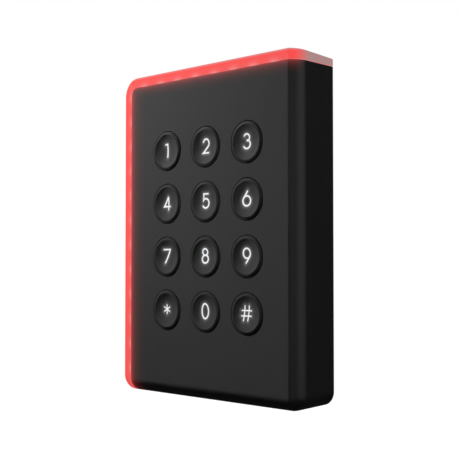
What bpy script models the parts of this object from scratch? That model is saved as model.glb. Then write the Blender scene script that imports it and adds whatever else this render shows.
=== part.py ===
"""Keypad access reader for a wall.

A moulded housing carries twelve push keys and a lit bar along its top and left edges. Behind the
keys lie a silicone mat and the boards. A rear cover closes the housing, which hangs on a wall plate.

Frame: metres, +Z up, +X to the right of someone facing the reader, +Y into the wall.
The origin is the centre of the reader's outline on the wall. Depths run from the front face to the wall.
"""

import math

import bmesh
import bpy

MM = 0.001

# Outline of the body, and how far the keypad's centre lies right of and above the body's
BODY_WIDTH = 86.0 * MM
BODY_HEIGHT = 119.2 * MM
KEYPAD_SHIFT = 1.1 * MM
KEYPAD_RISE = 0.9 * MM

# Clearances
FIT_GAP = 0.3 * MM
SEAM = 0.2 * MM
BOARD_CLEARANCE = 0.6 * MM
HANG_CLEARANCE = 1.5 * MM
RIM_SETBACK = 0.3 * MM

# Keys and keypad mat
HOLE_DIAMETER = 14.9 * MM
KEY_WEB_X = 5.2 * MM
KEY_WEB_Z = 4.6 * MM
KEY_PROUD = 0.4 * MM
KEY_DISH_DIAMETER = 12.2 * MM
KEY_DISH_DEPTH = 0.85 * MM
KEY_SHOULDER = 0.15 * MM
KEY_FLANGE_LIP = 1.2 * MM
KEY_FLANGE_THICKNESS = 0.8 * MM
KEY_TRAVEL = 0.8 * MM
MAT_THICKNESS = 1.0 * MM
DOME_BASE_DIAMETER = 6.8 * MM
DOME_TOP_DIAMETER = 5.0 * MM
DOME_WALL = 0.5 * MM
KEY_LIGHT_SIZE = (1.6 * MM, 0.8 * MM, 0.8 * MM)

# Housing
FRONT_WALL = 2.2 * MM
WALL = 1.8 * MM
LEDGE = 1.6 * MM
INNER_CORNER = 2.0 * MM
DRAFT = math.radians(1.4)
EDGE_RADIUS = 6.6 * MM
EDGE_CREASE = math.radians(30.0)
EDGE_BREAK = 0.35 * MM
BOTTOM_EDGE_RADIUS = 4.2 * MM
BOTTOM_EDGE_START = math.radians(4.0)
BOTTOM_LEFT_RADIUS = 1.7 * MM
TOP_RIGHT_RADIUS = 0.8 * MM

# Light guide and its LED strips
GUIDE_WIDTH = 3.75 * MM
GUIDE_DRAFT = math.radians(2.7)
GUIDE_TOP_LEFT_INNER_RADIUS = 3.0 * MM
STRIP_FRONT = 4.0 * MM
STRIP_WIDTH = 4.5 * MM
STRIP_THICKNESS = 0.6 * MM
STRIP_LED_SIZE = (2.0 * MM, 1.4 * MM, 1.0 * MM)
STRIP_LED_PITCH = 9.3 * MM
STRIP_END_MARGIN = 8.0 * MM

# Antenna, ferrite and main board
ANTENNA_THICKNESS = 0.8 * MM
FERRITE_THICKNESS = 0.5 * MM
BOARD_THICKNESS = 1.6 * MM

# Parts on the back of the main board: size along X, Z and depth, or diameter and height
CONTROLLER_SIZE = (10.0 * MM, 10.0 * MM, 1.2 * MM)
CARD_READER_SIZE = (6.0 * MM, 6.0 * MM, 0.9 * MM)
CRYSTAL_SIZE = (5.0 * MM, 3.2 * MM, 1.1 * MM)
INDUCTOR_SIZE = (6.0 * MM, 6.0 * MM, 2.8 * MM)
CHIP_CHAMFER = 0.4 * MM
INDUCTOR_CHAMFER = 1.2 * MM
CONNECTOR_SIZE = (16.0 * MM, 6.0 * MM, 4.0 * MM)
CONNECTOR_WALL = 0.8 * MM
CONNECTOR_PINS = 6
CONNECTOR_PIN = 0.6 * MM
CAPACITOR_DIAMETER = 5.0 * MM
CAPACITOR_HEIGHT = 3.6 * MM
CAPACITOR_FOOT = 0.6 * MM
CAPACITOR_CHAMFER = 0.3 * MM
BUZZER_DIAMETER = 12.0 * MM
BUZZER_HEIGHT = 3.4 * MM
BUZZER_HOLE_DIAMETER = 2.0 * MM
BUZZER_HOLE_DEPTH = 1.1 * MM
SWITCH_SIZE = (6.0 * MM, 6.0 * MM, 3.4 * MM)

# Where those parts sit, along X from the body's centre line and along Z from the keypad's centre
CONTROLLER_AT = (0.0 * MM, 14.0 * MM)
CARD_READER_AT = (-20.0 * MM, 28.0 * MM)
CRYSTAL_AT = (13.0 * MM, 14.0 * MM)
INDUCTOR_AT = (-20.0 * MM, -34.0 * MM)
CONNECTOR_AT = (0.0 * MM, -38.0 * MM)
CAPACITOR_AT = ((-20.0 * MM, -12.0 * MM), (-20.0 * MM, -22.0 * MM))
BUZZER_AT = (22.0 * MM, -20.0 * MM)
SWITCH_AT = (22.0 * MM, 4.0 * MM)
GROMMET_AT = (0.0 * MM, -22.0 * MM)

# Tamper plunger
PLUNGER_DIAMETER = 2.8 * MM
PLUNGER_TRAVEL = 0.8 * MM
PLUNGER_TIP = 0.7 * MM
PLUNGER_SOCKET_DEPTH = 2.2 * MM

# Screws and bosses
SCREW_SHANK_DIAMETER = 2.5 * MM
SCREW_TIP_CHAMFER = 0.6 * MM
SCREW_HEAD_DIAMETER = 4.5 * MM
SCREW_HEAD_HEIGHT = 1.1 * MM
SCREW_HEAD_CHAMFER = 0.3 * MM
SCREW_RECESS_ARM = 0.8 * MM
SCREW_RECESS_SPAN = 2.4 * MM
SCREW_RECESS_DEPTH = 0.6 * MM
COVER_SCREW_LENGTH = 7.0 * MM
BOARD_SCREW_LENGTH = 4.2 * MM
LOCK_SCREW_LENGTH = 4.0 * MM
BLIND_HOLE_OVERRUN = 0.4 * MM
COVER_BOSS_DIAMETER = 6.0 * MM
BOARD_BOSS_DIAMETER = 5.0 * MM
LOCK_SEAT = 0.6 * MM

# Rear cover, gasket and cable grommet
COVER_SEAT = 1.0 * MM
GASKET_THICKNESS = 0.8 * MM
GASKET_LAND = 0.2 * MM
GROMMET_HOLE_DIAMETER = 11.0 * MM
GROMMET_BORE_DIAMETER = 7.0 * MM
GROMMET_LIP = 1.8 * MM
GROMMET_FLANGE = 1.0 * MM

# Wall plate
PLATE_THICKNESS = 1.2 * MM
PLATE_INSET = 2.0 * MM
PLATE_CORNER = 4.0 * MM
HOOK_X = 20.0 * MM
HOOK_WIDTH = 8.0 * MM
HOOK_LIP_HEIGHT = 2.2 * MM
HOOK_BELOW_TOP = 16.0 * MM
CATCH_THICKNESS = 1.6 * MM
CATCH_OVERHANG = 1.0 * MM
TAB_WIDTH = 12.0 * MM
WINDOW_SIZE = (26.0 * MM, 18.0 * MM)
WINDOW_CORNER = 3.0 * MM
WALL_SCREW_SPACING = 60.3 * MM
WALL_SCREW_Z = -2.0 * MM
WALL_SLOT_WIDTH = 3.9 * MM
WALL_SLOT_LENGTH = 9.0 * MM

# Facets of round shapes, and how far a cutting tool runs past what it cuts
ROUND_STEPS = 24
SMALL_ROUND_STEPS = 12
CORNER_STEPS = 6
EDGE_STEPS = 7
SHOULDER_STEPS = 3
SHARP_ANGLE = math.radians(35)
CUT_MARGIN = 5.0 * MM

# Depth of each layer, front face to wall
FLANGE_FRONT = FRONT_WALL + FIT_GAP
FLANGE_BACK = FLANGE_FRONT + KEY_FLANGE_THICKNESS
ANTENNA_FRONT = FRONT_WALL + FIT_GAP
ANTENNA_BACK = ANTENNA_FRONT + ANTENNA_THICKNESS
FERRITE_FRONT = ANTENNA_BACK + FIT_GAP
FERRITE_BACK = FERRITE_FRONT + FERRITE_THICKNESS
DOME_TOP = FLANGE_BACK + FIT_GAP
MAT_FRONT = DOME_TOP + KEY_TRAVEL
MAT_BACK = MAT_FRONT + MAT_THICKNESS
BOARD_FRONT = MAT_BACK + FIT_GAP
BOARD_BACK = BOARD_FRONT + BOARD_THICKNESS
PARTS_FRONT = BOARD_BACK + FIT_GAP
TALLEST_PART = max(CONNECTOR_SIZE[2], BUZZER_HEIGHT, CAPACITOR_HEIGHT, SWITCH_SIZE[2], INDUCTOR_SIZE[2])
COVER_FRONT = PARTS_FRONT + TALLEST_PART + FIT_GAP
COVER_BACK = COVER_FRONT + COVER_SEAT + FIT_GAP + SCREW_HEAD_HEIGHT
HOOK_LIP_FRONT = COVER_BACK + FIT_GAP
HOOK_LIP_BACK = HOOK_LIP_FRONT + PLATE_THICKNESS
CATCH_FRONT = HOOK_LIP_BACK + FIT_GAP
CATCH_BACK = CATCH_FRONT + CATCH_THICKNESS
PLATE_FRONT = CATCH_BACK + HANG_CLEARANCE
BODY_DEPTH = PLATE_FRONT + PLATE_THICKNESS
RIM_BACK = BODY_DEPTH - RIM_SETBACK
GASKET_BACK = COVER_FRONT - FIT_GAP
GASKET_FRONT = GASKET_BACK - GASKET_THICKNESS
LEDGE_DEPTH = GASKET_FRONT - FIT_GAP
LOCK_DEPTH = (HOOK_LIP_FRONT + PLATE_FRONT) / 2

# Depth of the round along the right front edge, and how far the sides lean in at the rim
EDGE_DEPTH = EDGE_RADIUS * math.cos(EDGE_CREASE)
RIM_LEAN = (RIM_BACK - EDGE_DEPTH) * math.tan(DRAFT)

# Sides of the body and the key grid
BODY_RIGHT = BODY_WIDTH / 2
BODY_LEFT = -BODY_RIGHT
BODY_TOP = BODY_HEIGHT / 2
BODY_BOTTOM = -BODY_TOP
PITCH_X = HOLE_DIAMETER + KEY_WEB_X
PITCH_Z = HOLE_DIAMETER + KEY_WEB_Z
KEY_FLANGE_DIAMETER = HOLE_DIAMETER + 2 * KEY_FLANGE_LIP
KEY_CLEARANCE_DIAMETER = KEY_FLANGE_DIAMETER + 2 * FIT_GAP


def inset(box, distance):
    """Left, right, bottom and top of a box moved inwards."""
    left, right, bottom, top = box
    return left + distance, right - distance, bottom + distance, top - distance


# Faces of the housing under the light guide, the two steps of its hollow, and the sheets that lie in it
CORE_LEFT = BODY_LEFT + GUIDE_WIDTH
CORE_TOP = BODY_TOP - GUIDE_WIDTH
POCKET = (CORE_LEFT + SEAM / 2 + WALL, BODY_RIGHT - RIM_LEAN - WALL,
          BODY_BOTTOM + RIM_LEAN + WALL, CORE_TOP - SEAM / 2 - WALL)
CAVITY = inset(POCKET, LEDGE)
BOARD_BOX = inset(CAVITY, BOARD_CLEARANCE)
PLATE_BOX = (POCKET[0] + PLATE_INSET, POCKET[1] - PLATE_INSET, POCKET[2] + FIT_GAP, POCKET[3] - PLATE_INSET)

# Hooks of the wall plate
HOOK_Z = PLATE_BOX[3] - HOOK_BELOW_TOP
HOOK_SEAT = HOOK_Z + PLATE_THICKNESS
HOOK_LIP_TOP = HOOK_SEAT + HOOK_LIP_HEIGHT

# Screw holes and the places of repeated pieces
SCREW_HOLE_DIAMETER = SCREW_SHANK_DIAMETER + 2 * FIT_GAP
SCREW_HEAD_HOLE_DIAMETER = SCREW_HEAD_DIAMETER + 2 * FIT_GAP
PLUNGER_HOLE_DIAMETER = PLUNGER_DIAMETER + 2 * FIT_GAP
COVER_BOSS_INSET = COVER_BOSS_DIAMETER / 2 + BOARD_CLEARANCE
COVER_BOSS_BOX = inset(CAVITY, COVER_BOSS_INSET)
COVER_SCREW_SPOTS = [(x, z) for z in COVER_BOSS_BOX[2:] for x in COVER_BOSS_BOX[:2]]
BOARD_SCREW_SPOTS = [(KEYPAD_SHIFT + x, KEYPAD_RISE + z)
                     for z in (-PITCH_Z, PITCH_Z) for x in (-PITCH_X / 2, PITCH_X / 2)]
KEY_NAMES = ("1", "2", "3", "4", "5", "6", "7", "8", "9", "star", "0", "hash")
KEY_SPOTS = [(KEYPAD_SHIFT + (index % 3 - 1) * PITCH_X, KEYPAD_RISE + (1.5 - index // 3) * PITCH_Z)
             for index in range(len(KEY_NAMES))]
KEY_LIGHT_RISE = DOME_BASE_DIAMETER / 2 + BOARD_CLEARANCE + KEY_LIGHT_SIZE[1]


def y_at(depth):
    """World Y of a depth behind the front face."""
    return depth - BODY_DEPTH


def on_board(spot):
    """World X and Z of a place given from the body's centre line and the keypad's centre."""
    return spot[0], KEYPAD_RISE + spot[1]


def around(spot, size_x, size_z):
    """Left, right, bottom and top of a box centred on a place."""
    return spot[0] - size_x / 2, spot[0] + size_x / 2, spot[1] - size_z / 2, spot[1] + size_z / 2


def material(name, colour, roughness, metallic=0.0):
    """Plain surface with a linear colour."""
    made = bpy.data.materials.new(name)
    made.use_nodes = True
    shader = made.node_tree.nodes["Principled BSDF"]
    shader.inputs["Base Color"].default_value = (*colour, 1.0)
    shader.inputs["Roughness"].default_value = roughness
    shader.inputs["Metallic"].default_value = metallic
    return made


def mesh_from(shape, name):
    """Mesh of a finished shape, faces out, round parts smooth."""
    bmesh.ops.recalc_face_normals(shape, faces=shape.faces)
    mesh = bpy.data.meshes.new(name)
    shape.to_mesh(mesh)
    shape.free()
    mesh.shade_smooth()
    mesh.set_sharp_from_angle(angle=SHARP_ANGLE)
    return mesh


def piece(name, mesh, surface=None):
    """Object for one piece of the reader, or for a tool when it has no surface."""
    made = bpy.data.objects.new(name, mesh)
    bpy.context.collection.objects.link(made)
    if surface:
        mesh.materials.clear()
        mesh.materials.append(surface)
        made.parent = READER
    return made


def solid(name, draw, surface=None):
    """Piece whose shape is drawn by a function."""
    shape = bmesh.new()
    draw(shape)
    return piece(name, mesh_from(shape, name), surface)


def boolean(target, operation, name, draw):
    """Cuts, joins or trims a piece with a hidden tool, which is returned so that it can be placed."""
    tool = solid(name, draw)
    tool.hide_render = True
    tool.display_type = "WIRE"
    modifier = target.modifiers.new(name, "BOOLEAN")
    modifier.operation = operation
    modifier.object = tool
    return tool


def add_loft(shape, loops):
    """Closed skin through loops of points that match one to one."""
    rows = [[shape.verts.new(point) for point in loop] for loop in loops]
    shape.faces.new(rows[0])
    shape.faces.new(rows[-1])
    for near, far in zip(rows, rows[1:]):
        for index, point in enumerate(near):
            follower = (index + 1) % len(near)
            shape.faces.new((point, far[index], far[follower], near[follower]))


def add_turned(shape, profile, centre=(0.0, 0.0), steps=ROUND_STEPS):
    """Solid turned about an axis along Y. profile holds radius and Y; a closed ring has no zero radius."""
    x, z = centre
    turns = [2 * math.pi * step / steps for step in range(steps)]
    rows = []
    for radius, y in profile:
        row_turns = turns if radius > 0 else turns[:1]
        rows.append([shape.verts.new((x + radius * math.cos(turn), y, z + radius * math.sin(turn)))
                     for turn in row_turns])
    if len(rows[0]) > 1:
        rows.append(rows[0])
    for near, far in zip(rows, rows[1:]):
        for step in range(steps):
            corners = []
            for row, place in ((near, step), (near, step + 1), (far, step + 1), (far, step)):
                point = row[place % len(row)]
                if point not in corners:
                    corners.append(point)
            shape.faces.new(corners)


def outline(box, radii, steps=CORNER_STEPS):
    """Rounded rectangle in X and Z. radii go bottom left, bottom right, top right, top left."""
    left, right, bottom, top = box
    corners = ((left, bottom, 1, 1), (right, bottom, -1, 1), (right, top, -1, -1), (left, top, 1, -1))
    points = []
    for quarter, ((x, z, side_x, side_z), radius) in enumerate(zip(corners, radii)):
        for step in range(steps + 1):
            angle = math.pi + math.pi / 2 * (quarter + step / steps)
            points.append((x + side_x * radius + radius * math.cos(angle),
                           z + side_z * radius + radius * math.sin(angle)))
    return points


def rounded(box, radius):
    """Outline with the same radius at each corner."""
    return outline(box, [radius] * 4)


def add_prism(shape, points, front, back):
    """Straight solid on an X and Z outline between two depths."""
    add_loft(shape, [[(x, y_at(depth), z) for x, z in points] for depth in (front, back)])


def add_block(shape, box, front, back):
    """Box between two depths."""
    left, right, bottom, top = box
    add_prism(shape, ((left, bottom), (right, bottom), (right, top), (left, top)), front, back)


def add_rod(shape, spot, diameter, front, back, steps=ROUND_STEPS):
    """Round bar along Y between two depths."""
    radius = diameter / 2
    near, far = y_at(front), y_at(back)
    add_turned(shape, ((0, near), (radius, near), (radius, far), (0, far)), spot, steps)


def add_side_profile(shape, points, centre_x, width):
    """Straight solid along X on an outline of depth and Z."""
    add_loft(shape, [[(x, y_at(depth), z) for depth, z in points]
                     for x in (centre_x - width / 2, centre_x + width / 2)])


def point_down(tool, z):
    """Turns a tool or screw so that its +Y end faces down at the lock screw's place."""
    tool.location = (0, y_at(LOCK_DEPTH), z)
    tool.rotation_euler = (math.radians(-90), 0, 0)


def bottom_right_corner(depth, roll, lean):
    """X and Z points at one depth where the bottom round, rolled to an angle, meets the right round."""
    drop = max(EDGE_DEPTH - depth, 0.0)
    points = []
    for step in range(CORNER_STEPS + 1):
        angle = roll * (1 - step / CORNER_STEPS)
        radius = EDGE_RADIUS - BOTTOM_EDGE_RADIUS * (1 - math.cos(angle))
        points.append((BODY_RIGHT - EDGE_RADIUS + math.sqrt(radius ** 2 - drop ** 2) - lean,
                       BODY_BOTTOM + BOTTOM_EDGE_RADIUS * (1 - math.sin(angle)) + lean))
    return points


def draw_envelope(shape):
    """Whole outside of the body: draft, a creased round on the right, a full round at the bottom."""
    steps = [step / EDGE_STEPS for step in range(EDGE_STEPS + 1)]
    turns = [EDGE_CREASE + (math.pi / 2 - EDGE_CREASE) * step for step in steps]
    depths = {EDGE_RADIUS * (math.cos(EDGE_CREASE) - math.cos(turn)) for turn in turns}
    depths |= {BOTTOM_EDGE_RADIUS * (1 - math.cos(math.pi / 2 * step)) for step in steps}
    loops = []
    for depth in sorted(depths | {EDGE_BREAK, RIM_BACK}):
        bar_lean = max(EDGE_BREAK - depth, 0.0) + max(depth - EDGE_BREAK, 0.0) * math.tan(GUIDE_DRAFT)
        lean = max(depth - EDGE_DEPTH, 0.0) * math.tan(DRAFT)
        roll = max(math.acos(max(1 - depth / BOTTOM_EDGE_RADIUS, 0.0)), BOTTOM_EDGE_START)
        corner = bottom_right_corner(depth, roll, lean)
        box = (BODY_LEFT + bar_lean, corner[-1][0], corner[0][1], BODY_TOP - bar_lean)
        radii = (BOTTOM_LEFT_RADIUS, 0.0, TOP_RIGHT_RADIUS, GUIDE_TOP_LEFT_INNER_RADIUS + GUIDE_WIDTH)
        points = outline(box, radii)
        points[CORNER_STEPS + 1:2 * (CORNER_STEPS + 1)] = corner
        loops.append([(x, y_at(depth), z) for x, z in points])
    add_loft(shape, loops)


def draw_core(grow):
    """Drawer for the block inside the light guide, grown past the guide's inner face."""
    box = (CORE_LEFT - grow, BODY_RIGHT + CUT_MARGIN, BODY_BOTTOM - CUT_MARGIN, CORE_TOP + grow)
    radii = (INNER_CORNER, INNER_CORNER, INNER_CORNER, GUIDE_TOP_LEFT_INNER_RADIUS + grow)
    return lambda shape: add_prism(shape, outline(box, radii), -CUT_MARGIN, BODY_DEPTH + CUT_MARGIN)


def make_front_cover(surface):
    """Moulded housing: front wall with key holes, side walls, gasket ledge and screw bosses."""
    def draw_cavity(shape):
        add_prism(shape, rounded(CAVITY, INNER_CORNER), FRONT_WALL, BODY_DEPTH + CUT_MARGIN)

    def draw_pocket(shape):
        add_prism(shape, rounded(POCKET, INNER_CORNER), LEDGE_DEPTH, BODY_DEPTH + CUT_MARGIN)

    def draw_bosses(shape):
        for spot in COVER_SCREW_SPOTS:
            add_rod(shape, spot, COVER_BOSS_DIAMETER, FRONT_WALL / 2, COVER_FRONT - FIT_GAP)
        for spot in BOARD_SCREW_SPOTS:
            add_rod(shape, spot, BOARD_BOSS_DIAMETER, FRONT_WALL / 2, BOARD_FRONT - FIT_GAP)

    def draw_holes(shape):
        for spot in KEY_SPOTS:
            add_rod(shape, spot, HOLE_DIAMETER, -CUT_MARGIN, FRONT_WALL + FIT_GAP)
        cover_hole = COVER_BACK - SCREW_HEAD_HEIGHT - COVER_SCREW_LENGTH - BLIND_HOLE_OVERRUN
        for spot in COVER_SCREW_SPOTS:
            add_rod(shape, spot, SCREW_HOLE_DIAMETER, cover_hole, COVER_FRONT, SMALL_ROUND_STEPS)
        board_hole = PARTS_FRONT - BOARD_SCREW_LENGTH - BLIND_HOLE_OVERRUN
        for spot in BOARD_SCREW_SPOTS:
            add_rod(shape, spot, SCREW_HOLE_DIAMETER, board_hole, BOARD_FRONT, SMALL_ROUND_STEPS)

    def draw_lock_hole(shape):
        shank, head = SCREW_HOLE_DIAMETER / 2, SCREW_HEAD_HOLE_DIAMETER / 2
        profile = ((0, -CUT_MARGIN), (shank, -CUT_MARGIN), (shank, 0), (head, 0), (head, CUT_MARGIN),
                   (0, CUT_MARGIN))
        add_turned(shape, profile, steps=SMALL_ROUND_STEPS)

    cover = solid("front_cover", draw_envelope, surface)
    boolean(cover, "INTERSECT", "tool_core", draw_core(-SEAM / 2))
    boolean(cover, "DIFFERENCE", "tool_cavity", draw_cavity)
    boolean(cover, "DIFFERENCE", "tool_pocket", draw_pocket)
    boolean(cover, "UNION", "tool_bosses", draw_bosses)
    boolean(cover, "DIFFERENCE", "tool_holes", draw_holes)
    point_down(boolean(cover, "DIFFERENCE", "tool_lock_hole", draw_lock_hole), POCKET[2] - LOCK_SEAT)


def make_light_guide(surface):
    """Milky bar along the top and left edges, with a channel for the LED strips."""
    channel = 2 * FIT_GAP + STRIP_THICKNESS + STRIP_LED_SIZE[2]

    def draw_channel(shape):
        box = (CORE_LEFT - channel, BODY_RIGHT - STRIP_END_MARGIN + FIT_GAP,
               BODY_BOTTOM + STRIP_END_MARGIN - FIT_GAP, CORE_TOP + channel)
        radii = (INNER_CORNER, INNER_CORNER, INNER_CORNER, GUIDE_TOP_LEFT_INNER_RADIUS + channel)
        add_prism(shape, outline(box, radii), STRIP_FRONT - FIT_GAP, STRIP_FRONT + STRIP_WIDTH + FIT_GAP)

    guide = solid("light_guide", draw_envelope, surface)
    boolean(guide, "DIFFERENCE", "tool_guide_core", draw_core(SEAM / 2))
    boolean(guide, "DIFFERENCE", "tool_channel", draw_channel)


def make_led_strips(surface):
    """Narrow boards against the housing, with LEDs facing out into the guide."""
    length, width, height = STRIP_LED_SIZE
    strip_back = STRIP_FRONT + STRIP_WIDTH
    led_front = STRIP_FRONT + (STRIP_WIDTH - width) / 2
    turn = GUIDE_TOP_LEFT_INNER_RADIUS + STRIP_THICKNESS + height
    left_run = (BODY_BOTTOM + STRIP_END_MARGIN, CORE_TOP - turn)
    top_run = (CORE_LEFT + turn, BODY_RIGHT - STRIP_END_MARGIN)
    left_back = CORE_LEFT + SEAM / 2 - FIT_GAP
    left_face = left_back - STRIP_THICKNESS
    top_back = CORE_TOP - SEAM / 2 + FIT_GAP
    top_face = top_back + STRIP_THICKNESS
    sunk = STRIP_THICKNESS / 2

    def led_places(run):
        count = int((run[1] - run[0] - length) // STRIP_LED_PITCH) + 1
        start = (run[0] + run[1] - (count - 1) * STRIP_LED_PITCH) / 2
        return [start + index * STRIP_LED_PITCH for index in range(count)]

    def draw_left(shape):
        add_block(shape, (left_face, left_back, *left_run), STRIP_FRONT, strip_back)

    def draw_left_leds(shape):
        for z in led_places(left_run):
            box = (left_face - height, left_face + sunk, z - length / 2, z + length / 2)
            add_block(shape, box, led_front, led_front + width)

    def draw_top(shape):
        add_block(shape, (*top_run, top_back, top_face), STRIP_FRONT, strip_back)

    def draw_top_leds(shape):
        for x in led_places(top_run):
            box = (x - length / 2, x + length / 2, top_face - sunk, top_face + height)
            add_block(shape, box, led_front, led_front + width)

    boolean(solid("led_strip_left", draw_left, surface), "UNION", "tool_left_leds", draw_left_leds)
    boolean(solid("led_strip_top", draw_top, surface), "UNION", "tool_top_leds", draw_top_leds)


def make_keys(surface):
    """Twelve caps of one mesh: shallow dish, round shoulder, retaining flange behind the wall."""
    dish = KEY_DISH_DIAMETER / 2
    side = HOLE_DIAMETER / 2 - FIT_GAP
    flange = KEY_FLANGE_DIAMETER / 2
    floor = KEY_DISH_DEPTH - KEY_PROUD
    rise = KEY_SHOULDER + KEY_PROUD
    shoulder = []
    for step in range(SHOULDER_STEPS + 1):
        angle = math.pi / 2 * step / SHOULDER_STEPS
        shoulder.append((dish + (side - dish) * math.sin(angle), KEY_SHOULDER - rise * math.cos(angle)))
    profile = [(0, floor), (dish / 2, floor - KEY_DISH_DEPTH / 4), *shoulder, (side, FLANGE_FRONT),
               (flange, FLANGE_FRONT), (flange, FLANGE_BACK), (0, FLANGE_BACK)]
    shape = bmesh.new()
    add_turned(shape, profile)
    mesh = mesh_from(shape, "key_cap")
    for name, (x, z) in zip(KEY_NAMES, KEY_SPOTS):
        piece("key_" + name, mesh, surface).location = (x, y_at(0), z)


def make_sheet(name, front, back, hole_diameter, surface):
    """Flat sheet that fills the housing, notched round the cover bosses, with holes at the board bosses."""
    reach = COVER_BOSS_INSET + COVER_BOSS_DIAMETER / 2 + BOARD_CLEARANCE
    left, right, bottom, top = CAVITY
    near, far = front - FIT_GAP, back + FIT_GAP

    def draw_outline(shape):
        add_prism(shape, rounded(BOARD_BOX, INNER_CORNER), front, back)

    def draw_cuts(shape):
        for x_run in ((left - CUT_MARGIN, left + reach), (right - reach, right + CUT_MARGIN)):
            for z_run in ((bottom - CUT_MARGIN, bottom + reach), (top - reach, top + CUT_MARGIN)):
                add_block(shape, (*x_run, *z_run), near, far)
        for spot in BOARD_SCREW_SPOTS:
            add_rod(shape, spot, hole_diameter, near, far, SMALL_ROUND_STEPS)

    sheet = solid(name, draw_outline, surface)
    boolean(sheet, "DIFFERENCE", "tool_cuts_" + name, draw_cuts)
    return sheet


def make_keypad_mat(surface):
    """Silicone sheet with a hollow dome under each key and a window for each key light."""
    def draw_domes(shape):
        base = DOME_BASE_DIAMETER / 2
        root = y_at(MAT_FRONT + MAT_THICKNESS / 2)
        profile = ((0, y_at(DOME_TOP)), (DOME_TOP_DIAMETER / 2, y_at(DOME_TOP)), (base, y_at(MAT_FRONT)),
                   (base, root), (0, root))
        for spot in KEY_SPOTS:
            add_turned(shape, profile, spot, SMALL_ROUND_STEPS)

    def draw_hollows(shape):
        hollow = DOME_TOP_DIAMETER - 2 * DOME_WALL
        for x, z in KEY_SPOTS:
            add_rod(shape, (x, z), hollow, DOME_TOP + DOME_WALL, MAT_BACK + FIT_GAP, SMALL_ROUND_STEPS)
            window = inset(around((x, z + KEY_LIGHT_RISE), *KEY_LIGHT_SIZE[:2]), -FIT_GAP)
            add_block(shape, window, MAT_FRONT - FIT_GAP, MAT_BACK + FIT_GAP)

    mat = make_sheet("keypad_mat", MAT_FRONT, MAT_BACK, BOARD_BOSS_DIAMETER + 2 * FIT_GAP, surface)
    boolean(mat, "UNION", "tool_domes", draw_domes)
    boolean(mat, "DIFFERENCE", "tool_mat_hollows", draw_hollows)


def make_key_lights(surface):
    """One small LED above each dome, standing on the board in the mat's window."""
    back = BOARD_FRONT - FIT_GAP
    front = back - KEY_LIGHT_SIZE[2]
    for number, (x, z) in enumerate(KEY_SPOTS, 1):
        box = around((x, z + KEY_LIGHT_RISE), *KEY_LIGHT_SIZE[:2])
        solid(f"key_light_{number}", lambda shape: add_block(shape, box, front, back), surface)


def make_antenna_sheet(name, front, back, surface):
    """Sheet in front of the mat, with a hole round the flange of each key."""
    def draw_key_holes(shape):
        for spot in KEY_SPOTS:
            add_rod(shape, spot, KEY_CLEARANCE_DIAMETER, front - FIT_GAP, back + FIT_GAP)

    sheet = make_sheet(name, front, back, BOARD_BOSS_DIAMETER + 2 * FIT_GAP, surface)
    boolean(sheet, "DIFFERENCE", "tool_key_holes_" + name, draw_key_holes)


def make_chip(name, spot, size, chamfer, surface):
    """Flat package with cut corners on the back of the board."""
    points = outline(around(on_board(spot), *size[:2]), [chamfer] * 4, 1)
    solid(name, lambda shape: add_prism(shape, points, PARTS_FRONT, PARTS_FRONT + size[2]), surface)


def make_connector(surface):
    """Open wire header with a row of pins."""
    x, z = on_board(CONNECTOR_AT)
    size_x, size_z, height = CONNECTOR_SIZE
    shell = around((x, z), size_x, size_z)
    floor = PARTS_FRONT + CONNECTOR_WALL
    rim = PARTS_FRONT + height

    def draw_shell(shape):
        add_block(shape, shell, PARTS_FRONT, rim)

    def draw_pocket(shape):
        add_block(shape, inset(shell, CONNECTOR_WALL), floor, rim + CUT_MARGIN)

    def draw_pins(shape):
        step = (size_x - 2 * CONNECTOR_WALL) / CONNECTOR_PINS
        for index in range(CONNECTOR_PINS):
            place = (x + (index - (CONNECTOR_PINS - 1) / 2) * step, z)
            pin = around(place, CONNECTOR_PIN, CONNECTOR_PIN)
            add_block(shape, pin, floor - CONNECTOR_WALL / 2, rim - CONNECTOR_WALL)

    header = solid("cable_connector", draw_shell, surface)
    boolean(header, "DIFFERENCE", "tool_header_pocket", draw_pocket)
    boolean(header, "UNION", "tool_header_pins", draw_pins)


def make_capacitors(surface):
    """Two low cans, each with a wider foot."""
    radius = CAPACITOR_DIAMETER / 2
    foot = radius + CAPACITOR_CHAMFER
    profile = ((0, 0), (foot, 0), (foot, CAPACITOR_FOOT), (radius, CAPACITOR_FOOT),
               (radius, CAPACITOR_HEIGHT - CAPACITOR_CHAMFER), (radius - CAPACITOR_CHAMFER, CAPACITOR_HEIGHT),
               (0, CAPACITOR_HEIGHT))
    shape = bmesh.new()
    add_turned(shape, profile, steps=SMALL_ROUND_STEPS)
    mesh = mesh_from(shape, "capacitor")
    for number, spot in enumerate(CAPACITOR_AT, 1):
        x, z = on_board(spot)
        piece(f"capacitor_{number}", mesh, surface).location = (x, y_at(PARTS_FRONT), z)


def make_buzzer(surface):
    """Round beeper with a sound hole in its lid."""
    hole = BUZZER_HOLE_DIAMETER / 2
    radius = BUZZER_DIAMETER / 2
    front = y_at(PARTS_FRONT)
    back = front + BUZZER_HEIGHT
    floor = back - BUZZER_HOLE_DEPTH
    profile = ((0, front), (radius, front), (radius, back), (hole, back), (hole, floor), (0, floor))
    solid("buzzer", lambda shape: add_turned(shape, profile, on_board(BUZZER_AT)), surface)


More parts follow.
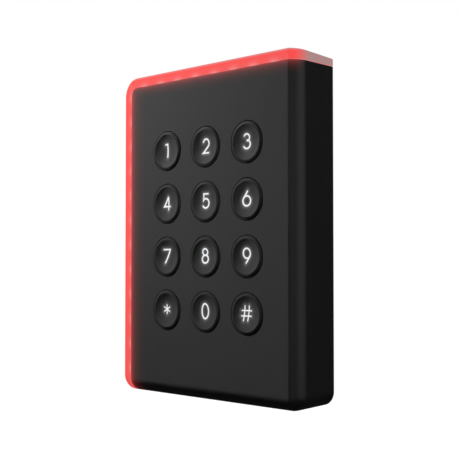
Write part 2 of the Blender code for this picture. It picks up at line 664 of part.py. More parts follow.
def make_tamper_switch(switch_surface, plunger_surface):
    """Switch with a socket, and the plunger that feels the wall plate through the rear cover."""
    x, z = on_board(SWITCH_AT)
    back = PARTS_FRONT + SWITCH_SIZE[2]
    floor = back - PLUNGER_SOCKET_DEPTH
    start = floor + FIT_GAP + PLUNGER_TRAVEL
    length = PLATE_FRONT - FIT_GAP - start
    radius = PLUNGER_DIAMETER / 2

    def draw_switch(shape):
        add_block(shape, around((x, z), *SWITCH_SIZE[:2]), PARTS_FRONT, back)

    def draw_socket(shape):
        add_rod(shape, (x, z), PLUNGER_HOLE_DIAMETER, floor, back + FIT_GAP, SMALL_ROUND_STEPS)

    def draw_plunger(shape):
        profile = ((0, 0), (radius, 0), (radius, length - PLUNGER_TIP),
                   (radius - PLUNGER_TIP, length), (0, length))
        add_turned(shape, profile, steps=SMALL_ROUND_STEPS)

    switch = solid("tamper_switch", draw_switch, switch_surface)
    boolean(switch, "DIFFERENCE", "tool_socket", draw_socket)
    solid("tamper_plunger", draw_plunger, plunger_surface).location = (x, y_at(start), z)


def screw_mesh(name, length):
    """Screw along Y: the underside of its head at the origin, its tip at -Y."""
    shank, head = SCREW_SHANK_DIAMETER / 2, SCREW_HEAD_DIAMETER / 2
    tip, crown = SCREW_TIP_CHAMFER, SCREW_HEAD_CHAMFER
    profile = ((0, -length), (shank - tip, -length), (shank, tip - length), (shank, 0), (head, 0),
               (head, SCREW_HEAD_HEIGHT - crown), (head - crown, SCREW_HEAD_HEIGHT), (0, SCREW_HEAD_HEIGHT))
    shape = bmesh.new()
    add_turned(shape, profile, steps=SMALL_ROUND_STEPS)
    return mesh_from(shape, name)


def draw_cross_recess(shape):
    """Cross-shaped driver recess in a screw's head."""
    arm, tip = SCREW_RECESS_ARM / 2, SCREW_RECESS_SPAN / 2
    cross = ((-tip, -arm), (-arm, -arm), (-arm, -tip), (arm, -tip), (arm, -arm), (tip, -arm),
             (tip, arm), (arm, arm), (arm, tip), (-arm, tip), (-arm, arm), (-tip, arm))
    floor = SCREW_HEAD_HEIGHT - SCREW_RECESS_DEPTH
    add_loft(shape, [[(x, y, z) for x, z in cross] for y in (floor, SCREW_HEAD_HEIGHT + FIT_GAP)])


def make_screws(surface):
    """Cross-recess screws: four in the board, four in the rear cover, one lock screw from below."""
    def add_screw(name, mesh):
        screw = piece(name, mesh, surface)
        return screw, boolean(screw, "DIFFERENCE", "tool_recess_" + name, draw_cross_recess)

    board_screw = screw_mesh("board_screw", BOARD_SCREW_LENGTH)
    for number, (x, z) in enumerate(BOARD_SCREW_SPOTS, 1):
        for item in add_screw(f"board_screw_{number}", board_screw):
            item.location = (x, y_at(PARTS_FRONT), z)
    cover_screw = screw_mesh("rear_cover_screw", COVER_SCREW_LENGTH)
    for number, (x, z) in enumerate(COVER_SCREW_SPOTS, 1):
        for item in add_screw(f"rear_cover_screw_{number}", cover_screw):
            item.location = (x, y_at(COVER_BACK - SCREW_HEAD_HEIGHT), z)
    for item in add_screw("lock_screw", screw_mesh("lock_screw", LOCK_SCREW_LENGTH)):
        point_down(item, POCKET[2] - LOCK_SEAT - FIT_GAP)


def make_gasket(surface):
    """Seal ring on the housing's ledge, under the rear cover."""
    def draw_ring(shape):
        add_prism(shape, rounded(inset(POCKET, FIT_GAP), INNER_CORNER), GASKET_FRONT, GASKET_BACK)

    def draw_inside(shape):
        points = rounded(inset(CAVITY, -GASKET_LAND), INNER_CORNER)
        add_prism(shape, points, GASKET_FRONT - FIT_GAP, GASKET_BACK + FIT_GAP)

    boolean(solid("perimeter_gasket", draw_ring, surface), "DIFFERENCE", "tool_gasket_inside", draw_inside)


def make_rear_cover(surface):
    """Plate that closes the housing, with screw holes, cable hole and two catches for the wall plate."""
    near, far = COVER_FRONT - FIT_GAP, COVER_BACK + FIT_GAP

    def draw_plate(shape):
        add_prism(shape, rounded(inset(POCKET, FIT_GAP), INNER_CORNER), COVER_FRONT, COVER_BACK)

    def draw_catches(shape):
        shelf = HOOK_LIP_TOP + FIT_GAP
        foot = HOOK_SEAT + FIT_GAP
        root = COVER_BACK - COVER_SEAT / 2
        points = ((root, shelf), (CATCH_FRONT, shelf), (CATCH_FRONT, foot), (CATCH_BACK, foot),
                  (CATCH_BACK, shelf + CATCH_THICKNESS), (root, shelf + CATCH_THICKNESS))
        for x in (-HOOK_X, HOOK_X):
            add_side_profile(shape, points, x, HOOK_WIDTH + 2 * CATCH_OVERHANG)

    def draw_holes(shape):
        seat = y_at(COVER_FRONT + COVER_SEAT)
        shank, head = SCREW_HOLE_DIAMETER / 2, SCREW_HEAD_HOLE_DIAMETER / 2
        stepped = ((0, y_at(near)), (shank, y_at(near)), (shank, seat), (head, seat), (head, y_at(far)),
                   (0, y_at(far)))
        for spot in COVER_SCREW_SPOTS:
            add_turned(shape, stepped, spot, SMALL_ROUND_STEPS)
        add_rod(shape, on_board(GROMMET_AT), GROMMET_HOLE_DIAMETER, near, far)
        add_rod(shape, on_board(SWITCH_AT), PLUNGER_HOLE_DIAMETER, near, far, SMALL_ROUND_STEPS)

    cover = solid("rear_cover", draw_plate, surface)
    boolean(cover, "UNION", "tool_catches", draw_catches)
    boolean(cover, "DIFFERENCE", "tool_cover_holes", draw_holes)


def make_grommet(surface):
    """Rubber bush that grips the edge of the rear cover's cable hole."""
    bore = GROMMET_BORE_DIAMETER / 2
    groove = GROMMET_HOLE_DIAMETER / 2 - FIT_GAP
    lip = GROMMET_HOLE_DIAMETER / 2 + GROMMET_LIP
    near, far = COVER_FRONT - FIT_GAP, COVER_BACK + FIT_GAP
    steps = ((bore, near - GROMMET_FLANGE), (lip, near - GROMMET_FLANGE), (lip, near), (groove, near),
             (groove, far), (lip, far), (lip, far + GROMMET_FLANGE), (bore, far + GROMMET_FLANGE))
    profile = [(radius, y_at(depth)) for radius, depth in steps]
    solid("cable_grommet", lambda shape: add_turned(shape, profile, on_board(GROMMET_AT)), surface)


def make_mounting_plate(surface):
    """Steel wall plate: cable window, screw slots, two lanced hooks and a folded tab for the lock screw."""
    root = PLATE_FRONT + PLATE_THICKNESS / 2
    lance_top = HOOK_LIP_TOP + PLATE_FRONT - HOOK_LIP_FRONT
    near, far = PLATE_FRONT - FIT_GAP, BODY_DEPTH + FIT_GAP

    def draw_sheet(shape):
        add_prism(shape, rounded(PLATE_BOX, PLATE_CORNER), PLATE_FRONT, BODY_DEPTH)

    def draw_folds(shape):
        hook = ((HOOK_LIP_FRONT, HOOK_Z), (root, HOOK_Z), (root, HOOK_SEAT), (HOOK_LIP_BACK, HOOK_SEAT),
                (HOOK_LIP_BACK, HOOK_LIP_TOP), (HOOK_LIP_FRONT, HOOK_LIP_TOP))
        for x in (-HOOK_X, HOOK_X):
            add_side_profile(shape, hook, x, HOOK_WIDTH)
        foot = PLATE_BOX[2]
        tab = ((HOOK_LIP_FRONT, foot), (root, foot), (root, foot + PLATE_THICKNESS),
               (HOOK_LIP_FRONT, foot + PLATE_THICKNESS))
        add_side_profile(shape, tab, 0, TAB_WIDTH)

    def draw_openings(shape):
        window = around(on_board(GROMMET_AT), *WINDOW_SIZE)
        add_prism(shape, rounded(window, WINDOW_CORNER), near, far)
        for side in (-1, 1):
            place = (side * WALL_SCREW_SPACING / 2, WALL_SCREW_Z)
            slot = around(place, WALL_SLOT_WIDTH, WALL_SLOT_LENGTH)
            add_prism(shape, rounded(slot, WALL_SLOT_WIDTH / 2), near, far)
            hook_left = side * HOOK_X - HOOK_WIDTH / 2
            add_block(shape, (hook_left, hook_left + HOOK_WIDTH, HOOK_SEAT, lance_top), near, far)

    def draw_tab_hole(shape):
        hole = SCREW_HOLE_DIAMETER / 2
        profile = ((0, -CUT_MARGIN), (hole, -CUT_MARGIN), (hole, CUT_MARGIN), (0, CUT_MARGIN))
        add_turned(shape, profile, steps=SMALL_ROUND_STEPS)

    plate = solid("mounting_plate", draw_sheet, surface)
    boolean(plate, "UNION", "tool_folds", draw_folds)
    boolean(plate, "DIFFERENCE", "tool_plate_openings", draw_openings)
    point_down(boolean(plate, "DIFFERENCE", "tool_tab_hole", draw_tab_hole), PLATE_BOX[2])


for old in list(bpy.data.objects):
    bpy.data.objects.remove(old, do_unlink=True)
READER = bpy.data.objects.new("reader", None)
bpy.context.collection.objects.link(READER)

BLACK_PLASTIC = material("black_moulded_plastic", (0.035, 0.035, 0.036), 0.55)
KEY_PLASTIC = material("black_key_plastic", (0.022, 0.022, 0.023), 0.5)
GREY_PLASTIC = material("dark_grey_plastic", (0.05, 0.05, 0.052), 0.6)
MILKY_GUIDE = material("milky_light_guide", (0.9, 0.16, 0.15), 0.35)
SILICONE = material("clear_grey_silicone", (0.45, 0.45, 0.46), 0.6)
WHITE_LED = material("white_led", (0.85, 0.82, 0.7), 0.4)
BOARD_GREEN = material("green_circuit_board", (0.02, 0.12, 0.05), 0.45)
STRIP_WHITE = material("white_led_strip", (0.8, 0.8, 0.78), 0.5)
ANTENNA_BLUE = material("blue_antenna_board", (0.02, 0.06, 0.2), 0.45)
FERRITE = material("ferrite_foil", (0.06, 0.055, 0.05), 0.7)
CHIP_BLACK = material("chip_epoxy", (0.015, 0.015, 0.016), 0.5)
CAN_METAL = material("can_aluminium", (0.75, 0.75, 0.76), 0.35, 1.0)
CONNECTOR_WHITE = material("connector_nylon", (0.8, 0.78, 0.7), 0.5)
PLUNGER_WHITE = material("plunger_acetal", (0.8, 0.8, 0.8), 0.45)
RUBBER = material("black_rubber", (0.02, 0.02, 0.02), 0.8)
SCREW_STEEL = material("screw_steel", (0.6, 0.6, 0.6), 0.35, 1.0)
PLATE_STEEL = material("galvanised_steel", (0.55, 0.56, 0.57), 0.45, 1.0)

make_front_cover(BLACK_PLASTIC)
make_light_guide(MILKY_GUIDE)
make_led_strips(STRIP_WHITE)
make_keys(KEY_PLASTIC)
make_keypad_mat(SILICONE)
make_key_lights(WHITE_LED)
make_antenna_sheet("antenna_board", ANTENNA_FRONT, ANTENNA_BACK, ANTENNA_BLUE)
make_antenna_sheet("ferrite_sheet", FERRITE_FRONT, FERRITE_BACK, FERRITE)
make_sheet("main_board", BOARD_FRONT, BOARD_BACK, SCREW_HOLE_DIAMETER, BOARD_GREEN)
make_chip("controller_chip", CONTROLLER_AT, CONTROLLER_SIZE, CHIP_CHAMFER, CHIP_BLACK)
make_chip("card_reader_chip", CARD_READER_AT, CARD_READER_SIZE, CHIP_CHAMFER, CHIP_BLACK)
make_chip("crystal", CRYSTAL_AT, CRYSTAL_SIZE, CHIP_CHAMFER, CAN_METAL)
make_chip("power_inductor", INDUCTOR_AT, INDUCTOR_SIZE, INDUCTOR_CHAMFER, FERRITE)
make_connector(CONNECTOR_WHITE)
make_capacitors(CAN_METAL)
make_buzzer(CHIP_BLACK)
make_tamper_switch(CHIP_BLACK, PLUNGER_WHITE)
make_screws(SCREW_STEEL)
make_gasket(RUBBER)
make_rear_cover(GREY_PLASTIC)
make_grommet(RUBBER)
make_mounting_plate(PLATE_STEEL)
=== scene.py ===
import math

import bmesh
import bpy
import numpy as np
from mathutils import Matrix, Vector


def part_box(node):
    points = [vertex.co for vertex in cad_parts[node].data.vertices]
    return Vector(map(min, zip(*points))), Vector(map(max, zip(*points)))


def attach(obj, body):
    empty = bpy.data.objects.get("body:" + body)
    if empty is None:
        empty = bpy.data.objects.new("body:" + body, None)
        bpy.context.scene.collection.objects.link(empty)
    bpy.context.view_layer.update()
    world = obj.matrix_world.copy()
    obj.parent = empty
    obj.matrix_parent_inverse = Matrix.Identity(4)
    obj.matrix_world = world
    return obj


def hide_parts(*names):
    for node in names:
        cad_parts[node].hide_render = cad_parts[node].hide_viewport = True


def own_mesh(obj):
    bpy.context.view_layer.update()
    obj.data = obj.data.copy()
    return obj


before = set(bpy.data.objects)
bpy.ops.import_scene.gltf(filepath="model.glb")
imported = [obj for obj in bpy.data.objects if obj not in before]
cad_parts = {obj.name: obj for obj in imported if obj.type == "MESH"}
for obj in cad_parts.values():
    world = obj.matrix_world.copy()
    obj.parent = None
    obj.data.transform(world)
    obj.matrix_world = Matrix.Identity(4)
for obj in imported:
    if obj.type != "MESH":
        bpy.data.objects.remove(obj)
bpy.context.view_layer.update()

# Front cover
# The housing is one black ABS moulding, open at the back, with draft, a creased round on its right edge
# and a full round below. Twelve holes let the keys through, and bosses behind its front wall take screws.
MM = 0.001
FRONT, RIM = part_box("front_cover")[0].y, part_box("front_cover")[1].y
RIGHT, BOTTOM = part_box("front_cover")[1].x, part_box("front_cover")[0].z
LEFT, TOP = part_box("light_guide")[0].x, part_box("light_guide")[1].z
FIT = 0.3 * MM
SEAM = 0.2 * MM
PAST = 5 * MM
GUIDE_WIDTH = 3.75 * MM
GUIDE_INNER_RADIUS = 3.0 * MM
GUIDE_DRAFT = math.radians(2.7)
EDGE_RADIUS = 6.6 * MM
EDGE_CREASE = math.radians(33.0)
EDGE_DEPTH = EDGE_RADIUS * math.cos(EDGE_CREASE)
CREASE_RADIUS = 2.0 * MM
EDGE_BREAK = 0.35 * MM
BOTTOM_RADIUS = 5.0 * MM
BOTTOM_START = math.radians(1.0)
BOTTOM_LEFT_RADIUS = 1.7 * MM
TOP_RIGHT_RADIUS = 0.8 * MM
DRAFT = math.radians(1.4)
INNER_CORNER = 2.0 * MM
HOLE_RADIUS = 7.45 * MM
HOLE_EDGE = 0.1 * MM
BOARD_BOSS_RADIUS = 2.5 * MM
COVER_BOSS_RADIUS = 3.0 * MM
SCREW_HOLE_RADIUS = 1.55 * MM
LOCK_HEAD_RADIUS = 2.55 * MM
CORE_LEFT, CORE_TOP = LEFT + GUIDE_WIDTH, TOP - GUIDE_WIDTH
CORNER_STEPS = 14
EDGE_STEPS = 16
BREAK_STEPS = 4
BOSSES = [(f"{kind}_screw_{number}", past, radius) for number in (1, 2, 3, 4) for kind, past, radius in
          (("rear_cover", "rear_cover", COVER_BOSS_RADIUS), ("board", "main_board", BOARD_BOSS_RADIUS))]
KEY_NAMES = ("1", "2", "3", "4", "5", "6", "7", "8", "9", "star", "0", "hash")


def linear(code):
    """Linear colour of an sRGB hex value."""
    parts = [int(code[at:at + 2], 16) / 255 for at in (1, 3, 5)]
    return [part / 12.92 if part <= 0.04045 else ((part + 0.055) / 1.055) ** 2.4 for part in parts] + [1.0]


def add(tree, kind, inputs=(), output=0, **settings):
    """Adds a shader node and gives one of its outputs. inputs holds values, or the outputs that feed it."""
    made = tree.nodes.new("ShaderNode" + kind)
    for name, value in settings.items():
        setattr(made, name, value)
    for socket, value in inputs.items() if isinstance(inputs, dict) else enumerate(inputs):
        if isinstance(value, bpy.types.NodeSocket):
            tree.links.new(value, made.inputs[socket])
        else:
            made.inputs[socket].default_value = value
    return made.outputs[output]


def moulded(name, dark, pale, grain, gloss, bump, **sockets):
    """Moulded, cast or coated surface: two close shades in an even grain, uneven gloss and a shallow bump."""
    made = bpy.data.materials.new(name)
    made.use_nodes = True
    tree = made.node_tree
    shader = tree.nodes["Principled BSDF"]
    for socket, value in sockets.items():
        shader.inputs[socket.replace("_", " ")].default_value = value
    place = add(tree, "TexCoord", output="Object")
    cloud = add(tree, "TexNoise", {"Vector": place, "Scale": 1 / grain, "Detail": 2.0}, "Fac")
    tint = add(tree, "ValToRGB", {"Fac": cloud})
    for stop, position, code in zip(tint.node.color_ramp.elements, (0.3, 0.7), (dark, pale)):
        stop.position = position
        stop.color = linear(code)
    tree.links.new(tint, shader.inputs["Base Color"])
    sheen = add(tree, "MapRange", {"Value": cloud, "To Min": gloss[0], "To Max": gloss[1]})
    tree.links.new(sheen, shader.inputs["Roughness"])
    pits = add(tree, "Bump", {"Height": cloud, "Strength": 0.3, "Distance": bump})
    tree.links.new(pits, shader.inputs["Normal"])
    return made, tree, shader, place


def centre(node):
    """Middle of a CAD node in X and Z."""
    low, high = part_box(node)
    return (low.x + high.x) / 2, (low.z + high.z) / 2


def grown(node, distance):
    """Left, right, bottom and top of a CAD node, moved outwards."""
    low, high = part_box(node)
    return low.x - distance, high.x + distance, low.z - distance, high.z + distance


def loft(shape, loops):
    """Closed skin through loops of points that match one to one."""
    rows = [[shape.verts.new(point) for point in loop] for loop in loops]
    shape.faces.new(rows[0])
    shape.faces.new(rows[-1])
    for near, far in zip(rows, rows[1:]):
        for index, point in enumerate(near):
            follower = (index + 1) % len(near)
            shape.faces.new((point, far[index], far[follower], near[follower]))


def outline(box, radii, steps=CORNER_STEPS):
    """Rounded rectangle in X and Z. radii go bottom left, bottom right, top right, top left."""
    left, right, bottom, top = box
    corners = ((left, bottom, 1, 1), (right, bottom, -1, 1), (right, top, -1, -1), (left, top, 1, -1))
    points = []
    for quarter, ((x, z, side_x, side_z), radius) in enumerate(zip(corners, radii)):
        for step in range(steps + 1):
            angle = math.pi + math.pi / 2 * (quarter + step / steps)
            points.append((x + side_x * radius + radius * math.cos(angle),
                           z + side_z * radius + radius * math.sin(angle)))
    return points


def prism(shape, points, front, back):
    """Straight solid on an X and Z outline between two Y values."""
    loft(shape, [[(x, y, z) for x, z in points] for y in (front, back)])


def slab(shape, box, corner, front, back, steps=CORNER_STEPS):
    """Straight solid on a rectangle with four like corners."""
    prism(shape, outline(box, [corner] * 4, steps), front, back)


def turned(shape, profile, spot=(0.0, 0.0), steps=96):
    """Solid turned about an axis along Y. profile holds radius and Y, and a ring has no zero radius."""
    turns = [2 * math.pi * step / steps for step in range(steps)]
    rows = []
    for radius, y in profile:
        circle = [(spot[0] + radius * math.cos(turn), y, spot[1] + radius * math.sin(turn))
                  for turn in (turns if radius > 0 else turns[:1])]
        rows.append([shape.verts.new(point) for point in circle])
    if len(rows[0]) > 1:
        rows.append(rows[0])
    for near, far in zip(rows, rows[1:]):
        for step in range(steps):
            ring = []
            for row, at in ((near, step), (near, step + 1), (far, step + 1), (far, step)):
                if row[at % len(row)] not in ring:
                    ring.append(row[at % len(row)])
            shape.faces.new(ring)


def rod(shape, spot, radius, front, back, steps=48):
    """Round bar along Y between two Y values."""
    turned(shape, ((0, front), (radius, front), (radius, back), (0, back)), spot, steps)


def body_of(name, draw):
    """Object with the closed shape that a function draws."""
    shape = bmesh.new()
    draw(shape)
    bmesh.ops.recalc_face_normals(shape, faces=shape.faces)
    mesh = bpy.data.meshes.new(name)
    shape.to_mesh(mesh)
    shape.free()
    made = bpy.data.objects.new(name, mesh)
    bpy.context.collection.objects.link(made)
    return made


def work(target, operation, draw):
    """Cuts, joins or trims a piece with the shape that a function draws."""
    tool = body_of("tool", draw)
    modifier = target.modifiers.new("work", "BOOLEAN")
    modifier.operation = operation
    modifier.object = tool
    shaped = bpy.data.meshes.new_from_object(target.evaluated_get(bpy.context.evaluated_depsgraph_get()))
    old, shaped.name = target.data, target.data.name
    target.modifiers.clear()
    target.data = shaped
    bpy.data.meshes.remove(old)
    bpy.data.objects.remove(tool)


def fit(made, surface, body, slot, *nodes, sharp=30.0):
    """Gives a piece its surface, lets it ride on a body, and hides the CAD nodes that it stands for."""
    made.data.materials.clear()
    made.data.materials.append(surface)
    made.data.shade_smooth()
    made.data.set_sharp_from_angle(angle=math.radians(sharp))
    weighted = made.modifiers.new("flat faces stay flat", "WEIGHTED_NORMAL")
    weighted.keep_sharp = True
    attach(made, body)
    if nodes:
        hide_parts(*nodes)
    return made


def bottom_right_corner(depth, roll, lean):
    """X and Z points at one depth where the bottom round, rolled to an angle, meets the right round."""
    drop = max(EDGE_DEPTH - depth, 0.0)
    small, crease_drop = EDGE_RADIUS - CREASE_RADIUS, EDGE_DEPTH - CREASE_RADIUS
    soft_x = math.sqrt(small ** 2 - crease_drop ** 2)
    soft_depth = EDGE_DEPTH - crease_drop * EDGE_RADIUS / small
    inset = 0.0
    if depth < soft_depth:
        soft = soft_x + math.sqrt(CREASE_RADIUS ** 2 - (CREASE_RADIUS - depth) ** 2)
        inset = math.sqrt(EDGE_RADIUS ** 2 - drop ** 2) - soft
    points = []
    for step in range(CORNER_STEPS + 1):
        angle = roll * (1 - step / CORNER_STEPS)
        radius = EDGE_RADIUS - BOTTOM_RADIUS * (1 - math.cos(angle))
        points.append((RIGHT - EDGE_RADIUS + math.sqrt(radius ** 2 - drop ** 2) - inset - lean,
                       BOTTOM + BOTTOM_RADIUS * (1 - math.sin(angle)) + lean))
    return points


def envelope(shape):
    """Outside of the whole body: draft to the wall, a small edge where the guide ends, rounds elsewhere."""
    shares = np.linspace(0, 1, EDGE_STEPS + 1)
    turns = EDGE_CREASE + (math.pi / 2 - EDGE_CREASE) * shares
    depths = set(EDGE_RADIUS * (math.cos(EDGE_CREASE) - np.cos(turns)))
    depths |= set(BOTTOM_RADIUS * (1 - np.cos(math.pi / 2 * shares)))
    depths |= set(EDGE_BREAK * (1 - np.cos(math.pi / 2 * np.linspace(0, 1, BREAK_STEPS + 1))))
    loops = []
    for depth in sorted({round(depth, 6) for depth in depths} | {RIM - FRONT}):
        edge = EDGE_BREAK - math.sqrt(EDGE_BREAK ** 2 - max(EDGE_BREAK - depth, 0.0) ** 2)
        edge += max(depth - EDGE_BREAK, 0.0) * math.tan(GUIDE_DRAFT)
        lean = max(depth - EDGE_DEPTH, 0.0) * math.tan(DRAFT)
        roll = max(math.acos(max(1 - depth / BOTTOM_RADIUS, 0.0)), BOTTOM_START)
        corner = bottom_right_corner(depth, roll, lean)
        box = (LEFT + edge, corner[-1][0], corner[0][1], TOP - edge)
        points = outline(box, (BOTTOM_LEFT_RADIUS, 0.0, TOP_RIGHT_RADIUS, GUIDE_INNER_RADIUS + GUIDE_WIDTH))
        points[CORNER_STEPS + 1:2 * (CORNER_STEPS + 1)] = corner
        loops.append([(x, FRONT + depth, z) for x, z in points])
    loft(shape, loops)


def core(grow):
    """Drawer of the block that lies inside the guide."""
    box = (CORE_LEFT - grow, RIGHT + PAST, BOTTOM - PAST, CORE_TOP + grow)
    points = outline(box, (INNER_CORNER, INNER_CORNER, INNER_CORNER, GUIDE_INNER_RADIUS + grow))
    return lambda shape: prism(shape, points, FRONT - PAST, RIM + PAST)


def draw_hollow(shape):
    slab(shape, grown("main_board", 2 * FIT), INNER_CORNER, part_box("antenna_board")[0].y - FIT, RIM + PAST)


def draw_cover_seat(shape):
    slab(shape, grown("rear_cover", FIT), INNER_CORNER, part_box("perimeter_gasket")[0].y - FIT, RIM + PAST)


def draw_bosses(shape):
    for screw, past, radius in BOSSES:
        rod(shape, centre(screw), radius, FRONT + MM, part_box(past)[0].y - FIT)


def rounded(radius, y, edge_out, edge_back, count):
    """Quarter round in radius and Y, from a flat face at y to a side at radius."""
    return [(radius - edge_out * (1 - math.sin(turn)), y + edge_back * (1 - math.cos(turn)))
            for turn in np.linspace(0, math.pi / 2, count)]


def draw_holes(shape):
    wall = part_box("antenna_board")[0].y
    edge = rounded(HOLE_RADIUS, FRONT, -HOLE_EDGE, HOLE_EDGE, 6)
    profile = [(0, FRONT - MM), (HOLE_RADIUS + HOLE_EDGE, FRONT - MM), *edge, (HOLE_RADIUS, wall), (0, wall)]
    for key in KEY_NAMES:
        turned(shape, profile, centre("key_" + key))
    for screw, past, _ in BOSSES:
        rod(shape, centre(screw), SCREW_HOLE_RADIUS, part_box(screw)[0].y - FIT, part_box(past)[0].y, 24)


def set_upright(shape, z):
    """Turns a shape from Y to Z, on the axis of the lock screw."""
    low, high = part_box("lock_screw")
    stand = Matrix.Translation((0, (low.y + high.y) / 2, z)) @ Matrix.Rotation(math.pi / 2, 4, "X")
    bmesh.ops.transform(shape, matrix=stand, verts=shape.verts)


def draw_lock_hole(shape):
    inner_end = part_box("lock_screw")[1].z
    seat = grown("rear_cover", FIT)[2] - 2 * FIT
    profile = ((0, BOTTOM - MM), (LOCK_HEAD_RADIUS, BOTTOM - MM), (LOCK_HEAD_RADIUS, seat),
               (SCREW_HOLE_RADIUS, seat), (SCREW_HOLE_RADIUS, inner_end), (0, inner_end))
    turned(shape, profile, steps=48)
    set_upright(shape, 0)


def facing_of(tree):
    """X, Y and Z of the direction that a surface faces."""
    return add(tree, "SeparateXYZ", {"Vector": add(tree, "NewGeometry", output="Normal")}).node.outputs


def outside_core(tree, place):
    """Distances outwards from the left side and from the top of the block inside the guide."""
    spot = add(tree, "SeparateXYZ", {"Vector": place}).node.outputs
    left = add(tree, "Math", (CORE_LEFT, spot["X"]), operation="SUBTRACT")
    return left, add(tree, "Math", (spot["Z"], CORE_TOP), operation="SUBTRACT")


# Black ABS from a spark-eroded mould: matte, with a fine even grain, drawn coarser than the real one so
# that it shows. Beside the guide a red glow is painted in as emission, standing in for the guide's light
# spilling onto the edge, and a fainter painted glow lies further in.
LEFT_PAINTED_SPILL, TOP_PAINTED_SPILL, PAINTED_SPILL_STRENGTH, PAINTED_SPILL_PINK = 1.26 * MM, 0.78 * MM, 0.33, 0.1
LEFT_PAINTED_HAZE, TOP_PAINTED_HAZE = (4.0 * MM, 7.5 * MM, 0.0145), (1.5 * MM, 5.0 * MM, 0.025)
black_abs, tree, shader, place = moulded(
    "black_ABS_spark_eroded", "#373737", "#3a3a3a", 0.5 * MM, (0.5, 0.6), 0.02 * MM,
    Specular_IOR_Level=0.0, Coat_Weight=0.02, Coat_Roughness=0.43, Emission_Strength=1.0)
# Painted light: red emission that fades with distance from the guide's inner edges.
front_only = add(tree, "MapRange", {"Value": facing_of(tree)["Y"], "From Min": -0.1, "From Max": -0.6})
out_left, out_top = outside_core(tree, place)
fall = add(tree, "Math", (out_left, 1 / LEFT_PAINTED_SPILL), operation="MULTIPLY")
left_painted_spill = add(tree, "Math", (fall,), operation="EXPONENT")
fall = add(tree, "Math", (out_top, 1 / TOP_PAINTED_SPILL), operation="MULTIPLY")
top_painted_spill = add(tree, "Math", (fall,), operation="EXPONENT")
top_painted_spill = add(tree, "Math", (top_painted_spill, front_only), operation="MULTIPLY")
painted_spill = add(tree, "Math", (left_painted_spill, top_painted_spill), operation="MAXIMUM")
painted_spill = add(tree, "Math", (painted_spill, PAINTED_SPILL_STRENGTH), operation="MULTIPLY")
for outward, (near, far, strength) in ((out_left, LEFT_PAINTED_HAZE), (out_top, TOP_PAINTED_HAZE)):
    painted_haze = add(tree, "MapRange", {"Value": outward, "From Min": -near, "From Max": -far,
                                  "To Min": strength, "To Max": 0.0}, interpolation_type="SMOOTHSTEP")
    painted_spill = add(tree, "Math", (painted_haze, front_only, painted_spill), operation="MULTIPLY_ADD")
pink = add(tree, "Math", (painted_spill, PAINTED_SPILL_PINK), operation="MULTIPLY")
red = add(tree, "CombineColor", {"Red": painted_spill, "Green": pink, "Blue": pink})
tree.links.new(red, shader.inputs["Emission Color"])

cover = body_of("front_cover_moulding", envelope)
work(cover, "INTERSECT", core(-SEAM / 2))
work(cover, "DIFFERENCE", draw_hollow)
work(cover, "DIFFERENCE", draw_cover_seat)
work(cover, "UNION", draw_bosses)
work(cover, "DIFFERENCE", draw_holes)
work(cover, "DIFFERENCE", draw_lock_hole)
fit(cover, black_abs, "housing", "black_plastic", "front_cover", sharp=18.0)

# Light guide
# A bar of milky acrylic lies along the top and left edges and snaps over the housing. Red LEDs in a
# channel behind it light it from inside, so that its front glows with soft paler spots at the LEDs.
STRIP_END = 8.0 * MM
CHANNEL = 2.2 * MM
LED_PITCH = 9.37 * MM
LED_START = -50.9 * MM


def draw_channel(shape):
    low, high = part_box("led_strip_left")
    box = (CORE_LEFT - CHANNEL, RIGHT - STRIP_END + FIT, BOTTOM + STRIP_END - FIT, CORE_TOP + CHANNEL)
    radii = (INNER_CORNER, INNER_CORNER, INNER_CORNER, GUIDE_INNER_RADIUS + CHANNEL)
    prism(shape, outline(box, radii), low.y - FIT, high.y + FIT)


def layer(tree, shader, amount, code, socket="Base Color"):
    """Lays a colour over what a socket of a surface shows, by an amount from 0 to 1."""
    shown = shader.inputs[socket]
    below = shown.links[0].from_socket if shown.links else linear("#000000")
    mixed = add(tree, "Mix", {"Factor": amount, "A": below, "B": linear(code)}, "Result", data_type="RGBA")
    tree.links.new(mixed, shown)


# Milky acrylic, moulded smooth: deep red where it is thick and paler where an LED stands close behind it.
# A pale highlight is painted along the front of its top edge, and a grey-pink sheen is painted on its faces
# that look up and left. Its end glows a brighter red, turning a duller pink towards the back.
SPOT_STRENGTH = 0.16
PAINTED_HIGHLIGHT_WIDTH, PAINTED_HIGHLIGHT_AMOUNT = 1.0 * MM, 0.68
END_FADE = 1.2 * MM, 7.0 * MM
milky, tree, shader, place = moulded(
    "milky_acrylic_lit", "#642828", "#682a2a", 3 * MM, (0.32, 0.4), 0.01 * MM,
    Specular_IOR_Level=0.0, Emission_Strength=1.0)
spot = add(tree, "SeparateXYZ", {"Vector": place}).node.outputs
facing = facing_of(tree)
out_left, out_top = outside_core(tree, place)
out = add(tree, "Math", (out_left, out_top), operation="MAXIMUM")
across = add(tree, "Math", (out, 1 / GUIDE_WIDTH), operation="MULTIPLY", use_clamp=True)
glow = add(tree, "ValToRGB", {"Fac": across})
for stop, position, code in zip(glow.node.color_ramp.elements, (0.1, 0.8), ("#e45a58", "#ee4e4a")):
    stop.position = position
    stop.color = linear(code)
on_top = add(tree, "Math", (out_top, out_left), operation="GREATER_THAN")
along = add(tree, "Mix", {"Factor": on_top, "A": spot["Z"], "B": spot["X"]})
turn = 2 * math.pi / LED_PITCH
inner = add(tree, "Math", (1.0, across), operation="SUBTRACT")
inner = add(tree, "Math", (inner, 4.0), operation="POWER")
pulse = along
for operation, *others in (("MULTIPLY_ADD", turn, -turn * LED_START), ("COSINE",), ("MULTIPLY_ADD", 0.5, 0.5),
                           ("POWER", 2.0), ("MULTIPLY", inner), ("MULTIPLY", SPOT_STRENGTH)):
    pulse = add(tree, "Math", (pulse, *others), operation=operation)
